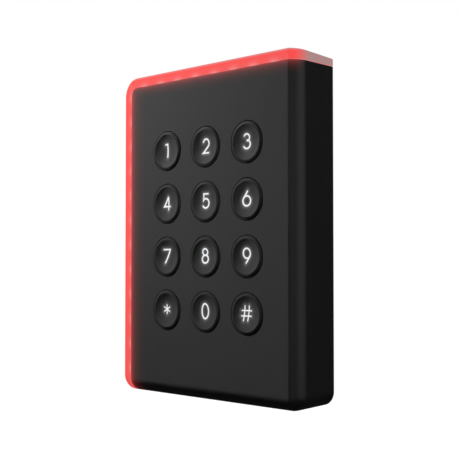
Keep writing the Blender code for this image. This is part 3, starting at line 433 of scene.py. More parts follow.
pale = add(tree, "CombineColor", {"Green": pulse, "Blue": pulse})
glow = add(tree, "Mix", {"Factor": 1.0, "A": glow, "B": pale}, "Result", data_type="RGBA", blend_type="ADD")
tree.links.new(glow, shader.inputs["Emission Color"])
# Painted sheen: grey-pink emission on the faces that look up and left.
left_side = add(tree, "Math", (facing["X"], -1.0), operation="MULTIPLY")
edge = add(tree, "Math", (facing["Z"], left_side), operation="MAXIMUM")
edge = add(tree, "MapRange", {"Value": edge, "From Min": 0.2, "From Max": 0.5})
# Painted highlight: a paler front along the outer edge of the top bar.
painted_rim_highlight = add(tree, "MapRange", {"Value": out_top, "From Min": GUIDE_WIDTH - PAINTED_HIGHLIGHT_WIDTH, "From Max": GUIDE_WIDTH,
                             "To Max": PAINTED_HIGHLIGHT_AMOUNT})
side_on = add(tree, "MapRange", {"Value": facing["X"], "From Min": 0.3, "From Max": 0.5})
end_face = add(tree, "MapRange", {"Value": spot["Y"], "From Min": FRONT + END_FADE[0],
                                  "From Max": FRONT + END_FADE[1]})
end_face = add(tree, "Math", (end_face, side_on), operation="MULTIPLY")
for amount, code in ((edge, "#9a9696"), (side_on, "#fc504e"), (painted_rim_highlight, "#c4a2a2"), (end_face, "#ac8886")):
    layer(tree, shader, amount, code, "Emission Color")

guide = body_of("light_guide_bar", envelope)
work(guide, "DIFFERENCE", core(SEAM / 2))
work(guide, "DIFFERENCE", draw_channel)
fit(guide, milky, "housing", "lit_guide", "light_guide", sharp=18.0)

# Keys and their legends
# Each key is a black ABS cap with a shallow round dish, held behind the front wall by a flange. Its
# legend is a clear window moulded into the black, flush with the dish and lit white from behind.
DISH_RADIUS, DISH_DEPTH, DISH_EDGE = 6.1 * MM, 1.0 * MM, 0.05 * MM
DISH_SPHERE = (DISH_RADIUS ** 2 + DISH_DEPTH ** 2) / (2 * DISH_DEPTH)
KEY_PROUD = 0.4 * MM
FLANGE_THICKNESS, FLANGE_EDGE = 0.8 * MM, 0.1 * MM
LEGEND_PROUD, LEGEND_SINK = 0.03 * MM, 0.25 * MM
STROKE_STAGGER = 0.05 * MM
SHARPEST_MITRE = 0.35

# Radius and Y of the shoulder's profile, in millimetres from the key's axis and from the cover's front
SHOULDER = ((6.1, -0.4), (6.2, -0.385), (6.35, -0.345), (6.7, -0.255), (7.0, -0.17), (7.1, -0.13),
            (7.15, -0.06))


def dish_y(radius):
    """Y of the dish at a distance from the key's axis."""
    return FRONT + DISH_DEPTH - KEY_PROUD - (DISH_SPHERE - math.sqrt(DISH_SPHERE ** 2 - radius ** 2))


def bow(x, z, radius_x, radius_z, start, end):
    """Points along part of an oval, with angles in degrees."""
    turns = np.radians(np.linspace(start, end, max(4, int(abs(end - start) / 8)) + 1))
    return [(x + radius_x * math.cos(turn), z + radius_z * math.sin(turn)) for turn in turns]


# Strokes of each legend, in millimetres from the key's axis, with their widths, lift and halo
STROKE, THIN_STROKE, LEGEND_RISE, HALO_REACH = 0.57, 0.45, 0.3, 0.45
LEGENDS = {
    "1": [[(-1.3, 2.1), (-0.1, 2.35), (-0.1, -2.62)]],
    "2": [[*bow(0.0, 0.98, 1.42, 1.5, 168, -38), (-1.4, -2.48), (1.45, -2.48)]],
    "3": [bow(-0.35, 1.34, 1.25, 1.16, 160, -92), bow(-0.35, -1.05, 1.55, 1.45, 92, -158)],
    "4": [[(0.4, 2.35), (-1.9, -1.25), (1.4, -1.25)], [(0.4, 2.35), (0.4, -2.62)]],
    "5": [[(1.3, 2.48), (-1.05, 2.48), (-1.35, 0.2), *bow(-0.2, -0.85, 1.58, 1.66, 128, -150)]],
    "6": [bow(-0.4, -0.83, 1.75, 1.7, 0, 352), [(0.15, 2.6), (-1.85, 0.15)]],
    "7": [[(-2.05, 2.41), (1.5, 2.41), (-1.3, -2.62)]],
    "8": [bow(-0.42, 1.36, 1.2, 1.17, 0, 352), bow(-0.42, -1.1, 1.47, 1.42, 0, 352)],
    "9": [bow(-0.38, 0.83, 1.6, 1.7, 0, 352), [(-0.8, -2.6), (1.05, -0.1)]],
    "0": [bow(-0.4, 0.0, 1.58, 2.62, 0, 352)],
    "star": [[(-0.4, -1.72), (-0.4, 1.72)], [(-1.85, -0.86), (1.05, 0.86)], [(-1.85, 0.86), (1.05, -0.86)]],
    "hash": [[(-1.9, -2.65), (-1.05, 2.65)], [(0.05, -2.65), (0.9, 2.65)],
             [(-2.6, 0.92), (1.95, 0.92)], [(-2.8, -0.92), (1.75, -0.92)]],
}
RINGED = ("6", "8", "9", "0")
RING_POINTS = 30


def draw_stroke(points, width, closed, spot, sink):
    """Drawer of a straight-sided bar of even width along a line of points, through the dish."""
    path = np.array(points) + (0.0, LEGEND_RISE)
    steps = np.roll(path, -1, 0) - path
    ahead = steps if closed else np.vstack((steps[:-1], steps[-2:-1]))
    behind = np.roll(ahead, 1, 0) if closed else np.vstack((ahead[:1], ahead[:-1]))
    ahead = ahead / np.linalg.norm(ahead, axis=1, keepdims=True)
    behind = behind / np.linalg.norm(behind, axis=1, keepdims=True)
    along = ahead + behind
    along = along / np.linalg.norm(along, axis=1, keepdims=True)
    across = np.stack((-along[:, 1], along[:, 0]), 1)
    reach = width / 2 / np.maximum((along * ahead).sum(1, keepdims=True), SHARPEST_MITRE)
    sides = (path + across * reach, path - across * reach)
    near, far = FRONT - KEY_PROUD - sink, FRONT + DISH_DEPTH + sink

    def draw(shape):
        rows = []
        for y, side in ((near, sides[0]), (near, sides[1]), (far, sides[1]), (far, sides[0])):
            rows.append([shape.verts.new((spot[0] + x * MM, y, spot[1] + z * MM)) for x, z in side])
        count = len(path)
        for index in range(count if closed else count - 1):
            follower = (index + 1) % count
            for row, beside in zip(rows, rows[1:] + rows[:1]):
                shape.faces.new((row[index], row[follower], beside[follower], beside[index]))
        if not closed:
            shape.faces.new([row[0] for row in rows])
            shape.faces.new([row[-1] for row in rows])
    return draw


def distance_to(strokes, points):
    """Distance in millimetres from points to the nearest stroke."""
    least = np.full(len(points), np.inf)
    for stroke in strokes:
        line = np.array(stroke) + (0.0, LEGEND_RISE)
        for start, end in zip(line, line[1:]):
            run = end - start
            share = np.clip(((points - start) @ run) / (run @ run), 0, 1)
            least = np.minimum(least, np.linalg.norm(points - start - share[:, None] * run, axis=1))
    return least


dish_line = [(radius, dish_y(radius)) for radius in np.linspace(0, DISH_RADIUS - DISH_EDGE, 22)]
shoulder_line = [(radius * MM, FRONT + depth * MM) for radius, depth in SHOULDER]
low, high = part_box("key_1")
flange, flange_front = (high.x - low.x) / 2, high.y - FLANGE_THICKNESS
key_line = [*dish_line, *shoulder_line, (shoulder_line[-1][0], flange_front),
            (flange - FLANGE_EDGE, flange_front), (flange, flange_front + FLANGE_EDGE),
            (flange, high.y - FLANGE_EDGE), (flange - FLANGE_EDGE, high.y), (0, high.y)]
window = [(radius, y - LEGEND_PROUD) for radius, y in dish_line]
window += [(radius, y + LEGEND_SINK) for radius, y in reversed(dish_line)]

# Black key ABS, moulded smoother than the housing: satin, with painted shade on the shoulder round the
# dish, which is coloured a shade darker, and a faint halo of white light painted as emission round the
# legend, where the thin black lets some of it through.
key_abs, tree, shader, place = moulded(
    "black_ABS_key_satin", "#343434", "#383838", 0.6 * MM, (0.45, 0.55), 0.01 * MM,
    Specular_IOR_Level=0.0, Coat_Weight=0.02, Coat_Roughness=0.45, Emission_Strength=0.14)
# Painted glow: white emission round the legend's strokes.
halo = add(tree, "Attribute", output="Color", attribute_name="halo")
tree.links.new(halo, shader.inputs["Emission Color"])
# Painted shade: the shoulder round the dish is coloured darker.
band = add(tree, "Attribute", output="Fac", attribute_name="band")
layer(tree, shader, band, "#2c2c2c")

# Clear polycarbonate window over a white LED: an even white, slightly cool.
LEGEND_CLOUD = 2 * MM
lit_window, tree, shader, place = moulded(
    "polycarbonate_legend_lit", "#6c6c6c", "#727272", LEGEND_CLOUD, (0.35, 0.45), 0.005 * MM,
    Specular_IOR_Level=0.0, Emission_Strength=0.8)
cloud = add(tree, "TexNoise", {"Vector": place, "Scale": 1 / LEGEND_CLOUD, "Detail": 1.0}, "Fac")
white = add(tree, "ValToRGB", {"Fac": cloud})
for stop, code in zip(white.node.color_ramp.elements, ("#eceef0", "#fbfcff")):
    stop.color = linear(code)
tree.links.new(white, shader.inputs["Emission Color"])

for name in KEY_NAMES:
    spot = centre("key_" + name)
    strokes = LEGENDS[name]
    width = THIN_STROKE if name in ("star", "hash") else STROKE
    cap = body_of("key_cap_" + name, lambda shape: turned(shape, key_line, spot))
    places = np.array([vertex.co for vertex in cap.data.vertices])
    flat = places[:, (0, 2)] - spot
    outside = np.maximum(distance_to(strokes, flat / MM) - width / 2, 0)
    # Painted glow round the legend, fading away from its strokes
    painted_halo_glow = np.exp(-outside / HALO_REACH) * (places[:, 1] < FRONT + DISH_DEPTH)
    # Ring outside the dish that takes the painted shade
    painted_shade_ring = np.linalg.norm(flat, axis=1) > DISH_RADIUS - DISH_EDGE / 2
    for label, level in (("halo", painted_halo_glow), ("band", painted_shade_ring.astype(float))):
        painted = cap.data.attributes.new(label, "FLOAT_COLOR", "POINT")
        painted.data.foreach_set("color", np.stack((level, level, level, np.ones_like(level)), 1).ravel())
    fit(cap, key_abs, "key_" + name, "key_plastic", "key_" + name, sharp=35.0)

    bars = []
    for order, stroke in enumerate(strokes, 1):
        closed = name in RINGED and len(stroke) > RING_POINTS
        bars.append(draw_stroke(stroke, width, closed, spot, STROKE_STAGGER * order))
    legend = body_of("legend_" + name, bars[0])
    for bar in bars[1:]:
        work(legend, "UNION", bar)
    work(legend, "INTERSECT", lambda shape: turned(shape, window, spot))
    fit(legend, lit_window, "key_" + name, "white_light", sharp=40.0)

# LED strips
# Two narrow boards stand in the guide's channel, stuck to the housing with their LEDs facing out. Their
# white solder mask throws stray light back into the guide, and each package glows red at its face.
LED_FOOT = 0.82 * MM
LED_FACE = 1.75 * MM
SKIN_GAP = 0.001 * MM
BROKEN_ANGLE = math.radians(40)


def dress(surface, edge, *nodes):
    """Gives CAD nodes a surface and breaks their sharp edges."""
    for name in nodes:
        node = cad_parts[name]
        node.material_slots[0].material = surface
        node.modifiers.new("one skin", "WELD").merge_threshold = SKIN_GAP
        node.modifiers.new("whole faces", "DECIMATE").decimate_type = "DISSOLVE"
        broken = node.modifiers.new("broken edges", "BEVEL")
        broken.width = edge
        broken.segments = 2
        broken.angle_limit = BROKEN_ANGLE
        node.modifiers.new("flat faces stay flat", "WEIGHTED_NORMAL")


# White solder mask, satin, with cream LED packages that show red light at their outer face.
strip_mask, tree, shader, place = moulded(
    "white_solder_mask_with_LEDs", "#dcdbd6", "#e6e5e1", 1.5 * MM, (0.4, 0.5), 0.01 * MM,
    Emission_Strength=1.0)
out = add(tree, "Math", outside_core(tree, place), operation="MAXIMUM")
layer(tree, shader, add(tree, "Math", (out, LED_FOOT), operation="GREATER_THAN"), "#e4d8bc")
face = add(tree, "Math", (out, LED_FACE), operation="GREATER_THAN")
layer(tree, shader, face, "#e63434", "Emission Color")
dress(strip_mask, 0.06 * MM, "led_strip_top", "led_strip_left")

# Keypad mat
# One sheet of translucent silicone lies on the board, with a hollow dome under each key that springs the
# key back. The sheet is notched round the cover bosses and has a window for each key light.
MAT_THICKNESS = 1.0 * MM
NOTCH = 6.6 * MM
NOTCH_CORNER = 0.5 * MM
DOME_FLAT, DOME_ROOT, DOME_HOLLOW = 2.5 * MM, 3.4 * MM, 2.0 * MM
DOME_WALL = 0.5 * MM
DOME_EDGE = 0.15 * MM
low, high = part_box("keypad_mat")
dome_top, mat_front, mat_back = low.y, high.y - MAT_THICKNESS, high.y


def around(x, z, half_x, half_z):
    """Left, right, bottom and top of a box about a place."""
    return x - half_x, x + half_x, z - half_z, z + half_z


def draw_mat_cuts(shape):
    near, far = mat_front - MM, mat_back + MM
    left, right, bottom, top = grown("keypad_mat", 0.0)
    for x in (left, right):
        for z in (bottom, top):
            slab(shape, around(x, z, NOTCH, NOTCH), NOTCH_CORNER, near, far, 4)
    for number in (1, 2, 3, 4):
        rod(shape, centre(f"board_screw_{number}"), BOARD_BOSS_RADIUS + FIT, near, far)
    for number, key in enumerate(KEY_NAMES, 1):
        rod(shape, centre("key_" + key), DOME_ROOT, near, far)
        slab(shape, grown(f"key_light_{number}", FIT), DOME_EDGE, near, far, 3)


# Clear grey silicone, pressed in a matte mould: milky and soft, with no sharp gloss.
silicone = moulded("grey_silicone", "#a8aaad", "#b2b4b7", 0.8 * MM, (0.5, 0.62), 0.01 * MM,
                   Subsurface_Weight=0.3, Subsurface_Scale=0.001)[0]

mat = body_of("keypad_mat_sheet", lambda shape: slab(
    shape, grown("keypad_mat", 0.0), INNER_CORNER, mat_front, mat_back))
work(mat, "DIFFERENCE", draw_mat_cuts)
fit(mat, silicone, "housing", "silicone", "keypad_mat")
ceiling = dome_top + DOME_WALL
dome_line = [(0, dome_top), *rounded(DOME_FLAT, dome_top, DOME_EDGE, DOME_EDGE, 5),
             (DOME_ROOT, mat_front), (DOME_ROOT, mat_back), (DOME_HOLLOW, mat_back),
             (DOME_HOLLOW, ceiling + DOME_EDGE), (DOME_HOLLOW - DOME_EDGE, ceiling), (0, ceiling)]
for name in KEY_NAMES:
    x, z = centre("key_" + name)
    dome = body_of("mat_dome_" + name, lambda shape: turned(shape, dome_line, (x, z), 48))
    fit(dome, silicone, "housing", "silicone")
    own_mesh(dome)

# Key lights
# A small white LED stands on the board in each window of the mat, above its dome, and lights the legend
# from behind. It is a moulded package with a phosphor face.
FACES_FRONT = -0.9

# Cream LED package, satin, with a yellow phosphor on its front face that glows white.
phosphor, tree, shader, place = moulded(
    "LED_package_white_lit", "#e6dcc0", "#eee6d0", 0.4 * MM, (0.4, 0.5), 0.005 * MM, Emission_Strength=0.9)
face = add(tree, "Math", (facing_of(tree)["Y"], FACES_FRONT), operation="LESS_THAN")
layer(tree, shader, face, "#efd98a")
layer(tree, shader, face, "#f4f6ff", "Emission Color")
dress(phosphor, 0.06 * MM, *[f"key_light_{number}" for number in range(1, len(KEY_NAMES) + 1)])

# Antenna board and ferrite sheet
# A thin board round the keys carries the printed loop that reads cards. The ferrite foil stuck behind it
# keeps the loop's field off the main board. Both are die-cut with a hole round the flange of each key.
LOOP_PITCH = 1.2 * MM
LOOP_BAND = 8.0 * MM
LOOP_FADE = 0.27 * MM, 0.33 * MM
FOIL_CELL = 2.5 * MM
FOIL_CRACK = 0.03


def cut_edge(tree, shader, code):
    """Shows the bare laminate on a board's cut edges."""
    flat = add(tree, "Math", (facing_of(tree)["Y"],), operation="ABSOLUTE")
    layer(tree, shader, add(tree, "Math", (flat, 0.5), operation="LESS_THAN"), code)


# Blue solder mask, paler where it covers a copper turn of the loop, over yellowish glass laminate. The
# turns follow the board's straight sides.
blue_mask, tree, shader, place = moulded(
    "blue_solder_mask", "#143c74", "#17437c", 2 * MM, (0.35, 0.45), 0.005 * MM)
spot = add(tree, "SeparateXYZ", {"Vector": place}).node.outputs
left, right, bottom, top = grown("antenna_board", 0.0)
inward = add(tree, "Math", (spot["X"], left), operation="SUBTRACT")
for pair in ((right, spot["X"]), (spot["Z"], bottom), (top, spot["Z"])):
    from_side = add(tree, "Math", pair, operation="SUBTRACT")
    inward = add(tree, "Math", (inward, from_side), operation="MINIMUM")
turns = add(tree, "Math", (inward, LOOP_PITCH / 2), operation="PINGPONG")
turns = add(tree, "MapRange", {"Value": turns, "From Min": LOOP_FADE[0], "From Max": LOOP_FADE[1]})
band = add(tree, "Math", (inward, LOOP_BAND), operation="LESS_THAN")
layer(tree, shader, add(tree, "Math", (turns, band), operation="MULTIPLY"), "#2c67a6")
cut_edge(tree, shader, "#9c8a56")
dress(blue_mask, 0.05 * MM, "antenna_board")

# Sintered ferrite foil: charcoal, broken into small tiles by fine cracks so that it bends.
foil, tree, shader, place = moulded("ferrite_foil", "#3b3835", "#46433f", 1.2 * MM, (0.6, 0.75), 0.01 * MM)
cracks = add(tree, "TexVoronoi", {"Vector": place, "Scale": 1 / FOIL_CELL}, "Distance",
             feature="DISTANCE_TO_EDGE")
layer(tree, shader, add(tree, "Math", (cracks, FOIL_CRACK), operation="LESS_THAN"), "#1d1b1a")
dress(foil, 0.05 * MM, "ferrite_sheet")

# Main board
# A glass-laminate circuit board carries the keypad contacts in front and the parts on its back. It lies
# on four bosses of the front cover. The gap beside a track and its length are counted in pitches.
TRACK_PITCH, TRACK_GAP, TRACK_LENGTH = 1.27 * MM, 0.24, 9.0

# Green solder mask, paler where it covers a copper track. The tracks run side by side on the usual grid.
green_mask, tree, shader, place = moulded(
    "green_solder_mask", "#0f4527", "#124c2c", 3 * MM, (0.3, 0.42), 0.005 * MM)
spot = add(tree, "SeparateXYZ", {"Vector": place}).node.outputs
flat = add(tree, "CombineXYZ", {"X": spot["X"], "Y": spot["Z"]})
gaps = add(tree, "TexBrick", {"Vector": flat, "Scale": 1 / TRACK_PITCH, "Mortar Size": TRACK_GAP,
                              "Brick Width": TRACK_LENGTH, "Row Height": 1.0}, "Fac")
layer(tree, shader, add(tree, "Math", (1.0, gaps), operation="SUBTRACT"), "#1c6b3f")
cut_edge(tree, shader, "#9c8a56")
dress(green_mask, 0.08 * MM, "main_board")

# Parts on the main board
# Two chips in leadless packages, a crystal, a power inductor, two electrolytic capacitors, a beeper and a
# wire header stand on the back of the board. Their tin pads are soldered to it.
PAD_WIDTH, PAD_REACH, PAD_RISE, PAD_CORNER = 0.3 * MM, 0.12 * MM, 0.2 * MM, 0.04 * MM
DOT_RADIUS, DOT_INSET, DOT_PROUD = 0.45 * MM, 1.3 * MM, 0.03 * MM
CAN_RADIUS, CAN_FOOT, CAN_FOOT_RADIUS, CAN_EDGE = 2.5 * MM, 0.6 * MM, 2.8 * MM, 0.3 * MM
CAN_GROOVE, GROOVE_FRONT, GROOVE_BED, GROOVE_BACK = 0.15 * MM, 0.96 * MM, 1.14 * MM, 1.32 * MM
BEEPER_EDGE, BEEPER_HOLE, BEEPER_HOLE_DEPTH = 0.5 * MM, 1.0 * MM, 1.1 * MM
HEADER_FLOOR, PIN_HALF, PIN_ROW_HALF = 0.81 * MM, 0.32 * MM, 7.0 * MM

# Moulded epoxy: near black, with a fine sandy grain. The mark of pin 1 is a pale printed dot.
epoxy = moulded("chip_epoxy", "#1d1d1e", "#252526", 0.2 * MM, (0.5, 0.62), 0.01 * MM)[0]
ink = moulded("pale_marking_ink", "#b8b8b4", "#c6c6c2", 0.2 * MM, (0.6, 0.7), 0.005 * MM)[0]
# Solder tin and deep-drawn aluminium: bright, with a faint drawn cloud.
tin = moulded("solder_tin", "#b4b6b8", "#c8cacb", 0.4 * MM, (0.25, 0.4), 0.01 * MM, Metallic=1.0)[0]
can = moulded("drawn_aluminium", "#c2c3c5", "#cfd0d2", 1.2 * MM, (0.28, 0.4), 0.01 * MM, Metallic=1.0)[0]


def draw_pads(node, per_side):
    """Drawer of a chip's pads, from the board up its sides."""
    left, right, bottom, top = grown(node, 0.0)
    (x, z), step = centre(node), (right - left - 2 * PAD_WIDTH) / per_side
    near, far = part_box("main_board")[1].y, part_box(node)[0].y + PAD_RISE

    def draw(shape):
        for index in range(per_side):
            shift = (index - (per_side - 1) / 2) * step
            spots = [(side, z + shift, PAD_REACH, PAD_WIDTH / 2) for side in (left, right)]
            spots += [(x + shift, side, PAD_WIDTH / 2, PAD_REACH) for side in (bottom, top)]
            for spot in spots:
                slab(shape, around(*spot), PAD_CORNER, near, far, 2)
    return draw


dress(epoxy, 0.08 * MM, "controller_chip", "card_reader_chip", "tamper_switch")
for node, per_side in (("controller_chip", 12), ("card_reader_chip", 8)):
    fit(body_of(node + "_pads", draw_pads(node, per_side)), tin, "housing", "can_metal")
    left, right, bottom, top = grown(node, -DOT_INSET)
    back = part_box(node)[1].y
    dot = body_of(node + "_pin_1_dot", lambda shape: turned(
        shape, ((0, back - DOT_PROUD), (DOT_RADIUS, back - DOT_PROUD), (DOT_RADIUS, back),
                (DOT_RADIUS - DOT_PROUD, back + DOT_PROUD), (0, back + DOT_PROUD)), (left, top), 32))
    fit(dot, ink, "housing", "chip_epoxy")
dress(can, 0.25 * MM, "crystal")
dress(foil, 0.15 * MM, "power_inductor")

low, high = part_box("capacitor_1")
front, back = low.y, high.y
can_line = [(0, front), (CAN_FOOT_RADIUS, front), (CAN_FOOT_RADIUS, front + CAN_FOOT),
            (CAN_RADIUS, front + CAN_FOOT), (CAN_RADIUS, front + GROOVE_FRONT),
            (CAN_RADIUS - CAN_GROOVE, front + GROOVE_BED), (CAN_RADIUS, front + GROOVE_BACK),
            *reversed(rounded(CAN_RADIUS, back, CAN_EDGE, -CAN_EDGE, 5)), (0, back)]
for name in ("capacitor_1", "capacitor_2"):
    made = body_of(name + "_can", lambda shape: turned(shape, can_line, centre(name), 64))
    fit(made, can, "housing", "can_metal", name)

low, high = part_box("buzzer")
front, back, radius = low.y, high.y, (high.x - low.x) / 2
lid = reversed(rounded(radius, back, BEEPER_EDGE, -BEEPER_EDGE, 5))
beeper_line = [(0, front), (radius, front), *lid, (BEEPER_HOLE, back),
               (BEEPER_HOLE, back - BEEPER_HOLE_DEPTH), (0, back - BEEPER_HOLE_DEPTH)]
beeper = body_of("beeper_case", lambda shape: turned(shape, beeper_line, centre("buzzer")))
fit(beeper, epoxy, "housing", "chip_epoxy", "buzzer")

# Natural nylon, slightly yellow and waxy. The square pins in the header are tinned.
nylon, tree, shader, place = moulded("natural_nylon", "#dcd6c4", "#e4dfcf", 0.8 * MM, (0.4, 0.52), 0.01 * MM)
spot = add(tree, "SeparateXYZ", {"Vector": place}).node.outputs
x, z = centre("cable_connector")
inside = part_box("cable_connector")[0].y + HEADER_FLOOR
pins = add(tree, "Math", (spot["Z"], z, PIN_HALF), operation="COMPARE")
for limit in (add(tree, "Math", (spot["Y"], inside), operation="GREATER_THAN"),
              add(tree, "Math", (spot["X"], x, PIN_ROW_HALF), operation="COMPARE")):
    pins = add(tree, "Math", (pins, limit), operation="MULTIPLY")
layer(tree, shader, pins, "#c2c4c6")
tree.links.new(pins, shader.inputs["Metallic"])
dress(nylon, 0.1 * MM, "cable_connector")

# Tamper plunger
# An acetal pin stands in the tamper switch and passes through the rear cover. The wall plate holds it
# down, and a spring in the switch lifts it when the reader is pulled off the wall.
PLUNGER_TIP = 0.7 * MM

# White acetal: smooth, with a soft sheen.
acetal = moulded("white_acetal", "#d8d8d6", "#e0e0de", 1.0 * MM, (0.35, 0.45), 0.005 * MM)[0]
low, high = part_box("tamper_plunger")
front, back, radius = low.y, high.y, (high.x - low.x) / 2
nose = reversed(rounded(radius, back, PLUNGER_TIP, -PLUNGER_TIP, 7))
plunger_line = [(0, front), (radius, front), *nose, (0, back)]
plunger = body_of("tamper_plunger_pin", lambda shape: turned(
    shape, plunger_line, centre("tamper_plunger"), 48))
fit(plunger, acetal, "tamper_plunger", "pale_nylon", "tamper_plunger")

# Screws
# Pan-head screws with a cross recess, of zinc-plated steel, cut their own thread in the plastic bosses:
# four hold the board, four the rear cover, and one locks the housing to the wall plate from below.
SHANK, SHANK_CORE, THREAD_PITCH, THREAD_FLAT = 1.25 * MM, 0.98 * MM, 0.9 * MM, 0.05 * MM
HEAD_RADIUS, HEAD_HEIGHT, HEAD_FLAT, HEAD_SIDE = 2.25 * MM, 1.1 * MM, 1.35 * MM, 0.45 * MM
RECESS_ARM, RECESS_TIP, RECESS_DEPTH, RECESS_TAPER = 0.4 * MM, 1.2 * MM, 0.6 * MM, 0.6
SCREW_TIP = 0.6 * MM
SCREWS = [f"{kind}_screw_{number}" for kind in ("board", "rear_cover") for number in (1, 2, 3, 4)]

# Bright zinc over steel: cool grey, a little cloudy.
zinc = moulded("zinc_plated_steel", "#a9adb2", "#b9bdc1", 0.8 * MM, (0.28, 0.42), 0.01 * MM, Metallic=1.0)[0]


def draw_recess(shape):
    arm, tip = RECESS_ARM, RECESS_TIP
    cross = ((-tip, -arm), (-arm, -arm), (-arm, -tip), (arm, -tip), (arm, -arm), (tip, -arm),
             (tip, arm), (arm, arm), (arm, tip), (-arm, tip), (-arm, arm), (-tip, arm))
    levels = ((HEAD_HEIGHT - RECESS_DEPTH, RECESS_TAPER), (HEAD_HEIGHT, 1.0), (2 * HEAD_HEIGHT, 1.0))
    loft(shape, [[(share * x, y, share * z) for x, z in cross] for y, share in levels])


for name in [*SCREWS, "lock_screw"]:
    low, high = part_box(name)
    middle = (low + high) / 2
    length = (high.z - low.z if name == "lock_screw" else high.y - low.y) - HEAD_HEIGHT
    line = [(0, -length), (SHANK_CORE - SCREW_TIP / 2, -length)]
    for root in np.arange(SCREW_TIP - length, -THREAD_PITCH, THREAD_PITCH):
        crest = root + THREAD_PITCH / 2
        line += [(SHANK_CORE, root), (SHANK, crest - THREAD_FLAT), (SHANK, crest)]
    line += [(SHANK_CORE, line[-1][1] + THREAD_PITCH / 2), (SHANK_CORE, 0), (HEAD_RADIUS, 0)]
    line += reversed(rounded(HEAD_RADIUS, HEAD_HEIGHT, HEAD_RADIUS - HEAD_FLAT, HEAD_SIDE - HEAD_HEIGHT, 7))
    line.append((0, HEAD_HEIGHT))
    screw = body_of(name + "_cross", lambda shape: turned(shape, line, steps=48))
    work(screw, "DIFFERENCE", draw_recess)
    stand = Matrix.Translation((middle.x, high.y - HEAD_HEIGHT, middle.z))
    if name == "lock_screw":
        stand = Matrix.Translation((middle.x, middle.y, low.z + HEAD_HEIGHT))
        stand = stand @ Matrix.Rotation(-math.pi / 2, 4, "X")
    screw.data.transform(stand)
    fit(screw, zinc, "housing", "screw_steel", name)

# Gasket, rear cover and cable grommet
# The rear cover is a grey ABS plate with two catches that hang on the wall plate. A sponge-rubber gasket
# seals it to the housing's ledge, and a rubber grommet lines the hole where the cable would enter.
GASKET_INSIDE = 1.1 * MM
GASKET_EDGE = 0.2 * MM
GROMMET_FLANGE, GROMMET_WAIST, GROMMET_BORE, GROMMET_EDGE = 1.0 * MM, 5.2 * MM, 3.5 * MM, 0.35 * MM
BLOOM = 4 * MM

# Black rubber: dull, with a dusty bloom.
rubber, tree, shader, place = moulded("black_rubber", "#222222", "#2b2b2b", 0.7 * MM, (0.7, 0.85), 0.02 * MM)
bloom = add(tree, "TexNoise", {"Vector": place, "Scale": 1 / BLOOM, "Detail": 3.0}, "Fac")
bloom = add(tree, "MapRange", {"Value": bloom, "From Min": 0.45, "From Max": 0.75, "To Max": 0.4})
layer(tree, shader, bloom, "#3a3a39")
# Grey ABS, spark-eroded like the housing: matte, with the same fine grain.
grey_abs = moulded("grey_ABS_spark_eroded", "#3d3d3f", "#434345", 0.5 * MM, (0.5, 0.6), 0.02 * MM)[0]

low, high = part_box("perimeter_gasket")
front, back = low.y, high.y
gasket = body_of("gasket_ring", lambda shape: slab(
    shape, grown("perimeter_gasket", 0.0), INNER_CORNER, front, back))
work(gasket, "DIFFERENCE", lambda shape: slab(
    shape, grown("perimeter_gasket", -GASKET_INSIDE), INNER_CORNER, front - MM, back + MM))
fit(gasket, rubber, "housing", "rubber", "perimeter_gasket")
rounding = gasket.modifiers.new("rounded edges", "BEVEL")
rounding.width = GASKET_EDGE
rounding.segments = 3

dress(grey_abs, 0.25 * MM, "rear_cover")


def lip_line(y, way, radius):
    """Half of the grommet's profile, from its bore round the lip to its waist."""
    inner_round = reversed(rounded(GROMMET_BORE, y, -GROMMET_EDGE, way * GROMMET_EDGE, 6))
    outer_round = rounded(radius, y, GROMMET_EDGE, way * GROMMET_EDGE, 6)
    flange = y + way * GROMMET_FLANGE
    return [*inner_round, *outer_round, (radius, flange), (GROMMET_WAIST, flange)]


low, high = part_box("cable_grommet")
radius = (high.x - low.x) / 2
grommet_line = [*lip_line(low.y, 1, radius), *reversed(lip_line(high.y, -1, radius))]
grommet = body_of("cable_grommet_bush", lambda shape: turned(shape, grommet_line, centre("cable_grommet")))
fit(grommet, rubber, "housing", "rubber", "cable_grommet")

# Mounting plate
# The wall plate is stamped and folded from galvanised sheet, with two lanced hooks for the rear cover, a
# cable window, two slots for wall screws and a bottom tab for the lock screw.
SHEET = 1.2 * MM
BEND = 0.4 * MM
PLATE_CORNER = 4.0 * MM
HOOK_X, HOOK_WIDTH, HOOK_BELOW_TOP, LIP_HEIGHT = 20.0 * MM, 8.0 * MM, 16.0 * MM, 2.2 * MM
LANCE_CORNER = 0.3 * MM
TAB_WIDTH = 12.0 * MM
WINDOW_WIDTH, WINDOW_HEIGHT, WINDOW_CORNER = 26.0 * MM, 18.0 * MM, 3.0 * MM
WALL_SCREW_SPACING, SLOT_Z = 60.3 * MM, -2.0 * MM
SLOT_WIDTH, SLOT_HEIGHT, SLOT_CORNER = 3.9 * MM, 9.0 * MM, 1.94 * MM
SPANGLE = 5.0 * MM
low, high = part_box("mounting_plate")
lip, wall, foot = low.y, high.y, low.z
plate_front = wall - SHEET
hook_foot = high.z - HOOK_BELOW_TOP
lip_top = hook_foot + SHEET + LIP_HEIGHT

# Hot-dip zinc: pale grey spangle of large crystals, each with its own shade.
galvanised, tree, shader, place = moulded(
    "galvanised_steel", "#9da2a6", "#abb0b4", 2.5 * MM, (0.36, 0.52), 0.02 * MM, Metallic=1.0)
crystals = add(tree, "TexVoronoi", {"Vector": place, "Scale": 1 / SPANGLE}, "Color")
shade = add(tree, "MapRange", {"Value": crystals, "To Max": 0.55})
layer(tree, shader, shade, "#c8ccd0")


def bend(y, z, radius, start):
    """Quarter round in Y and Z, with its first angle in degrees."""
    turns = np.radians(np.linspace(start, start + 90, 7))
    return [(y + radius * math.cos(turn), z + radius * math.sin(turn)) for turn in turns]


